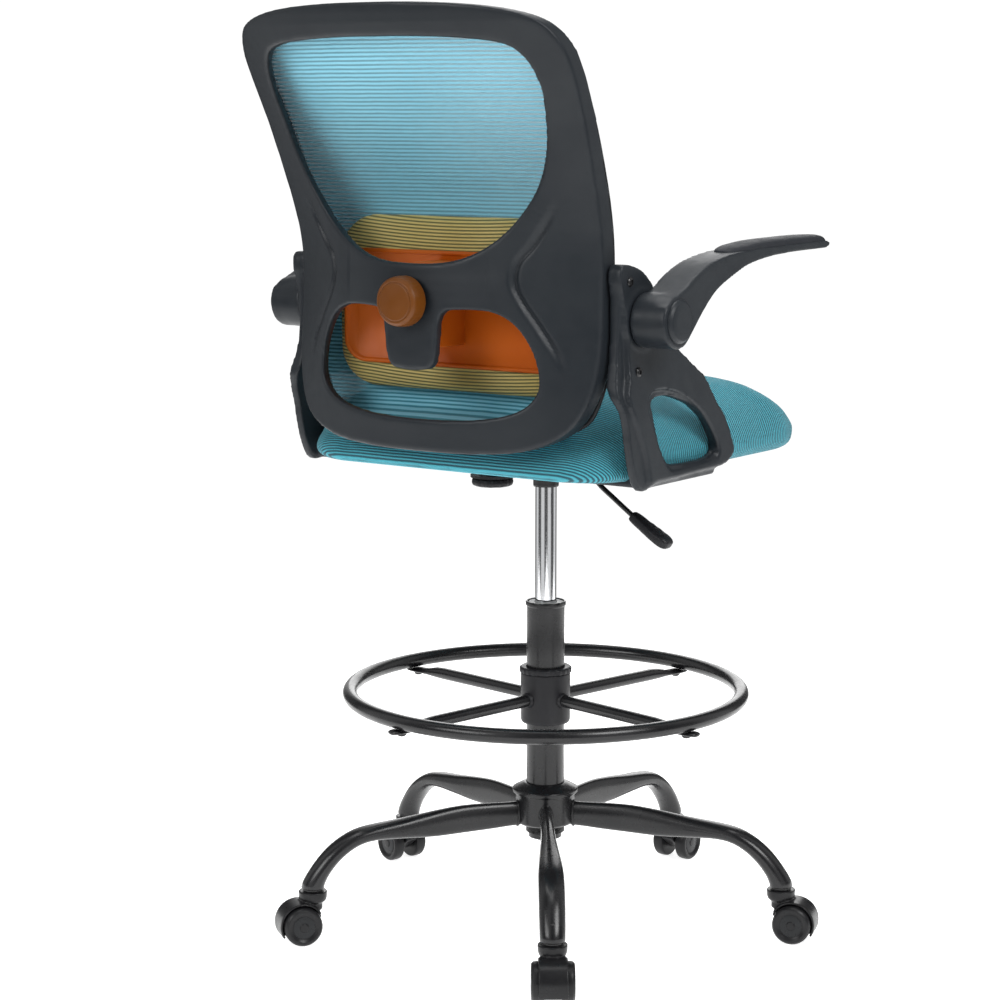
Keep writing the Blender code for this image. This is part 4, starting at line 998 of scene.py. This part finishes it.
def build_arm(side, sign, m):
    y, z = ARM_HUB
    on_hub = Matrix.Translation((0, y, z)) @ Matrix.Rotation(math.radians(90 * sign), 4, "Y")
    inner = bracket_leaf(INNER_REAR, WINDOW_INNER, 0.0, 0.66, sign)
    outer = bracket_leaf(OUTER_REAR, WINDOW_OUTER, 0.55, 1.0, sign)
    foot = rounded_box((min(sign * 0.15, sign * 0.256), 0.002, 0.6175),
                       (max(sign * 0.15, sign * 0.256), 0.166, 0.6295), 0.003)
    plate = turned([(0.0, 0.24), (0.0375, 0.24), (0.0375, 0.2505), (0.0, 0.2505)], 48,
                   place=on_hub)
    shell = moulded([inner, outer, foot, plate], 0.0023, 5)
    piece(f"bracket_skin_{side}", shell, "seat", m["plastic"],
          [f"arm_bracket_{side}"])
    for number, (py, pz) in enumerate(((0.1915, 0.8663), (0.1768, 0.7591))):
        piece(f"bracket_bolt_{side}_{number + 1}",
              bolt_head((sign * (bracket_outer(pz) + 0.0002), py, pz), (sign, 0, 0), 0.0058,
                        0.0026),
              "seat", m["metal"])

    # the armrest: barrel, neck and blade
    hub = arc((y, z), ARM_HUB_R, -135, 35, 22)
    silhouette = [Vector(p) for p in hub] + smooth_curve([Vector(p) for p in ARM_TOP], 5,
                                                         closed=False)
    silhouette += smooth_curve([Vector(p) for p in ARM_BOTTOM], 5, closed=False)
    blade = arm_solid([silhouette], 0.252, 0.3, sign)

    def taper(px, py, pz):
        reach = smoothstep(-0.12, -0.22, py)
        wide = 1.0 - 0.18 * reach * reach
        return Vector((sign * (ARM_MIDDLE + (abs(px) - ARM_MIDDLE) * wide), py, pz))

    blade = mapped(blade, taper)
    barrel = turned(soften([(0.0, 0.2512), (0.0325, 0.2512), (0.0332, 0.2525), (0.0332, 0.28),
                            (0.03, 0.2985), (0.0, 0.2985)], 0.0015), 64,
                    place=on_hub)
    arm = moulded([blade, barrel], 0.0021, 6)
    piece(f"arm_skin_{side}", arm, f"armrest_{side}", m["plastic"],
          [f"armrest_{side}"])

    line = smooth_curve([Vector(p) for p in ((0.03, 0.8938), (0.0, 0.8956),
                                            (-0.055, 0.8978), (-0.105, 0.8986),
                                            (-0.156, 0.899), (-0.212, 0.898))], 8, closed=False)
    rings = []
    last = len(line) - 1
    for i, p in enumerate(line):
        ends = min(1.0, (i + 0.6) / 14.0, (last - i + 0.4) / 3.0)
        half = 0.0222 * math.sqrt(min(1.0, ends * 1.6)) * (
            1.0 - 0.16 * smoothstep(-0.12, -0.21, p.x) ** 2)
        rise = 0.0088 * math.sqrt(ends)
        rings.append([Vector((sign * ARM_MIDDLE + half * math.copysign(abs(math.cos(t)) ** 0.6,
                                                                  math.cos(t)),
                              p.x, p.y + rise * max(math.sin(t), -0.18)))
                      for t in (2 * math.pi * k / 28 for k in range(28))])
    pad = piece(f"arm_pad_skin_{side}", loft(rings, sharp=None), f"armrest_{side}", m["pad"],
                [f"arm_pad_{side}"])

    cap = turned(soften([(0.0, 0.3062), (0.015, 0.3062), (0.0225, 0.3052), (0.0262, 0.302),
                         (0.0266, 0.2975), (0.0062, 0.2975), (0.0058, 0.233), (0.0, 0.233)],
                        0.0012), 56,
                 place=on_hub)
    piece(f"arm_cap_skin_{side}", cap, "seat", m["plastic"],
          [f"arm_pivot_{side}"])


# ---------------------------------------------------------------- back
EDGE_LINE = [(0.655, 0.236), (0.7, 0.232), (0.74, 0.226), (0.78, 0.222), (0.82, 0.218),
             (0.86, 0.216), (0.9, 0.217), (0.94, 0.227), (0.98, 0.242), (1.02, 0.258),
             (1.06, 0.275), (1.1, 0.296), (1.14, 0.317), (1.19, 0.343)]
BULGE = [(0.655, 0.042), (0.7, 0.052), (0.76, 0.07), (0.84, 0.079), (0.9, 0.075),
         (0.98, 0.062), (1.06, 0.052), (1.19, 0.042)]
BACK_OUTLINE = [(0.0, 0.655), (0.09, 0.657), (0.15, 0.665), (0.196, 0.688), (0.219, 0.728),
                (0.228, 0.78), (0.228, 0.88), (0.232, 0.96), (0.238, 1.06), (0.24, 1.11),
                (0.235, 1.142), (0.215, 1.167), (0.17, 1.181), (0.1, 1.188)]
UPPER_OPENING = [(0.0, 0.884), (0.06, 0.889), (0.105, 0.908), (0.142, 0.94), (0.171, 0.98),
                 (0.187, 1.02), (0.195, 1.06), (0.198, 1.095), (0.189, 1.125), (0.165, 1.141),
                 (0.1, 1.148)]
LOWER_OPENING = [(0.0, 0.696), (0.08, 0.699), (0.135, 0.711), (0.16, 0.733), (0.162, 0.76),
                 (0.153, 0.79), (0.133, 0.817), (0.105, 0.83), (0.062, 0.831), (0.046, 0.826),
                 (0.04, 0.81), (0.038, 0.785), (0.032, 0.763), (0.016, 0.757)]
CREASE = [(0.189, 0.963), (0.174, 0.936), (0.155, 0.908), (0.138, 0.887), (0.135, 0.864),
          (0.144, 0.843), (0.163, 0.814), (0.181, 0.784), (0.192, 0.76)]


def smooth_table(table, value):
    """Average of a table's reading over a short span, so its corners don't show."""
    return sum(interpolate(table, value + d) for d in (-0.024, -0.012, 0.0, 0.012, 0.024)) / 5.0


def half_width(z):
    return 0.228 + 0.055 * max(0.0, z - 0.88)


def rear_surface(x, z):
    across = min(abs(x) / half_width(z), 1.1)
    return smooth_table(EDGE_LINE, z) + smooth_table(BULGE, z) * (1.0 - across * across)


def mesh_surface(x, z):
    across = min(abs(x) / half_width(z), 1.0)
    edge = smooth_table(EDGE_LINE, z) - 0.0322
    pressed = smoothstep(0.672, 0.7, z) * (1.0 - smoothstep(0.955, 1.15, z))
    free_bulge = smooth_table(BULGE, z)
    middle = (0.165 - edge) * pressed + free_bulge * (1.0 - pressed)
    return edge + min(middle, free_bulge) * (1.0 - across * across)


def mirrored_outline(half, top_centre, per_span=5):
    left = [(-x, z) for x, z in reversed(half[1:])]
    points = half + ([top_centre] if top_centre else []) + left
    return [tuple(p) for p in smooth_curve([Vector(p) for p in points], per_span)]


def toward_middle(outline, amount):
    """Outline moved inwards along its own normals."""
    count = len(outline)
    result = []
    for i in range(count):
        a, b = Vector(outline[i - 1]), Vector(outline[(i + 1) % count])
        along = (b - a).normalized()
        result.append((outline[i][0] - along.y * amount, outline[i][1] + along.x * amount))
    return result


def build_back(m):
    outer = mirrored_outline(BACK_OUTLINE, (0.0, 1.19))
    upper = mirrored_outline(UPPER_OPENING, (0.0, 1.15))
    lower = mirrored_outline(LOWER_OPENING, None)
    panel = flat_slab([toward_middle(outer, 0.002), upper, lower], -0.0135, -0.001, 0.016)
    rim = flat_slab([toward_middle(outer, 0.001), toward_middle(outer, 0.019)], -0.029, -0.003,
                    0.016)
    skin = moulded([panel, rim], 0.0026, 5)
    crest = smooth_curve([Vector(p) for p in CREASE], 4, closed=False)

    def crease(x, z):
        """Groove along the crest line, with the web beside it standing a little proud."""
        here = Vector((abs(x), z))
        if not (0.105 < here.x < 0.215 and 0.745 < z < 0.98):
            return 0.0
        near = min(range(len(crest)), key=lambda k: (crest[k] - here).length_squared)
        a, b = crest[max(near - 1, 0)], crest[min(near + 1, len(crest) - 1)]
        along = (b - a).normalized()
        offset = here - crest[near]
        across = along.x * offset.y - along.y * offset.x
        fade = smoothstep(0, 7, near) * smoothstep(0, 7, len(crest) - 1 - near)
        groove = -0.005 * math.exp(-(across / 0.003) ** 2)
        web = 0.0022 * smoothstep(0.0, -0.004, across) * smoothstep(-0.045, -0.006, across)
        return (groove + web) * fade * smoothstep(0.06, 0.02, abs(offset.dot(along)))

    def bent(x, z, d):
        lift = crease(x, z) if d > -0.006 else 0.0
        return Vector((x, rear_surface(x, z) + d + lift, z))

    frame_mesh = mapped(skin, bent)
    piece("back_frame_skin", frame_mesh, "seat", m["plastic"], ["back_frame"])

    inset = toward_middle(outer, 0.0105)
    sheet = flat_slab([inset], -0.0006, 0.0006, 0.01)
    sheet = mapped(sheet, lambda x, z, d: Vector((x, mesh_surface(x, z) + d, z)))
    sheet.shade_smooth()
    cloth = piece("back_mesh_sheet", sheet, "seat", m["mesh"], ["back_mesh"])
    binding = sweep([(x, mesh_surface(x, z) + 0.0006, z) for x, z in toward_middle(outer, 0.0085)],
                    0.003, 12, cyclic=True)
    edge = piece("back_mesh_binding", binding, "seat", m["plastic_dark"])


KNOB_Z = 0.84
CUSHION_MIDDLE = 0.829        # heights of the lumbar cushion's and plate's middles
PLATE_MIDDLE = 0.8235


def pad_front(x):
    return 0.17 + 0.02 * (x / 0.172) ** 2


def build_lumbar(m):
    def ring_at(grow, depth):
        points = []
        for cx, cz, start in ((1, 1, 0), (-1, 1, 90), (-1, -1, 180), (1, -1, 270)):
            centre = (cx * 0.124, CUSHION_MIDDLE + cz * 0.057)
            points += arc(centre, 0.05 + grow, start, start + 90, 10)
        return [Vector((x, pad_front(x) + depth, z)) for x, z in points]

    rings = [ring_at(g, d) for g, d in ((-0.012, 0.001), (-0.004, 0.0022), (0.0, 0.006),
                                        (0.001, 0.01), (0.0, 0.0145), (-0.005, 0.019),
                                        (-0.014, 0.0205), (-0.026, 0.02))]
    cushion = with_modifiers(loft(rings, sharp=None), ("SUBSURF", {"levels": 1,
                                                                   "render_levels": 1}))
    cushion.shade_smooth()
    pad = piece("lumbar_cushion_cover", cushion, "lumbar", m["lumbar"],
                ["lumbar_cushion"])

    def plate_ring(grow, depth, corner=0.03):
        points = []
        for cx, cz, start in ((1, 1, 0), (-1, 1, 90), (-1, -1, 180), (1, -1, 270)):
            centre = (cx * (0.163 - corner), PLATE_MIDDLE + cz * (0.0715 - corner))
            points += arc(centre, corner + grow, start, start + 90, 10)
        return [Vector((x, pad_front(x) + 0.0207 + depth, z)) for x, z in points]

    rings = [plate_ring(-0.001, 0.0), plate_ring(0.0, 0.0012), plate_ring(0.0, 0.004),
             plate_ring(-0.0015, 0.0055), plate_ring(-0.004, 0.0055), plate_ring(-0.0055, 0.004),
             plate_ring(-0.0065, 0.0018), plate_ring(-0.02, 0.0016)]
    piece("lumbar_plate_skin", loft(rings, sharp=None), "lumbar", m["plate"],
          ["lumbar_plate"])
    boss = rounded_box((-0.021, 0.193, 0.781), (0.021, 0.267, 0.884), 0.004)
    piece("lumbar_plate_boss", boss, "lumbar", m["plate"])
    rack = rounded_box((0.0105, 0.26, 0.785), (0.0195, 0.275, 0.88), 0.001)
    piece("lumbar_rack", rack, "lumbar", m["plate"])

    turn = Matrix.Translation((0, 0, KNOB_Z)) @ Matrix.Rotation(math.radians(-90), 4, "X")
    profile = soften([(0.0, 0.3216), (0.0222, 0.3216), (0.0234, 0.3203), (0.0246, 0.3214),
                      (0.0262, 0.321), (0.029, 0.3178), (0.03, 0.313), (0.0304, 0.308),
                      (0.0304, 0.299), (0.0058, 0.299), (0.0058, 0.276), (0.0095, 0.276),
                      (0.0095, 0.2685), (0.0, 0.2685)], 0.0008)
    knob = turned(profile, 120)
    for vert in knob.vertices:
        r = math.hypot(vert.co.x, vert.co.y)
        if r > 0.0292 and 0.3 < vert.co.z < 0.3165:
            scale = 1.0 - 0.01 * (math.cos(40 * math.atan2(vert.co.y, vert.co.x)) > 0.0)
            vert.co.x *= scale
            vert.co.y *= scale
    piece("lumbar_knob_skin", moved(knob, turn), "lumbar_knob", m["knob"],
          ["lumbar_knob"])


# ---------------------------------------------------------------- everything
def main():
    look_camera()
    studio()
    m = make_materials()
    build_base(m)
    build_column(m)
    build_foot_ring(m)
    build_mechanism(m)
    build_seat(m)
    build_arm("right", -1, m)
    build_arm("left", 1, m)
    build_back(m)
    build_lumbar(m)


main()
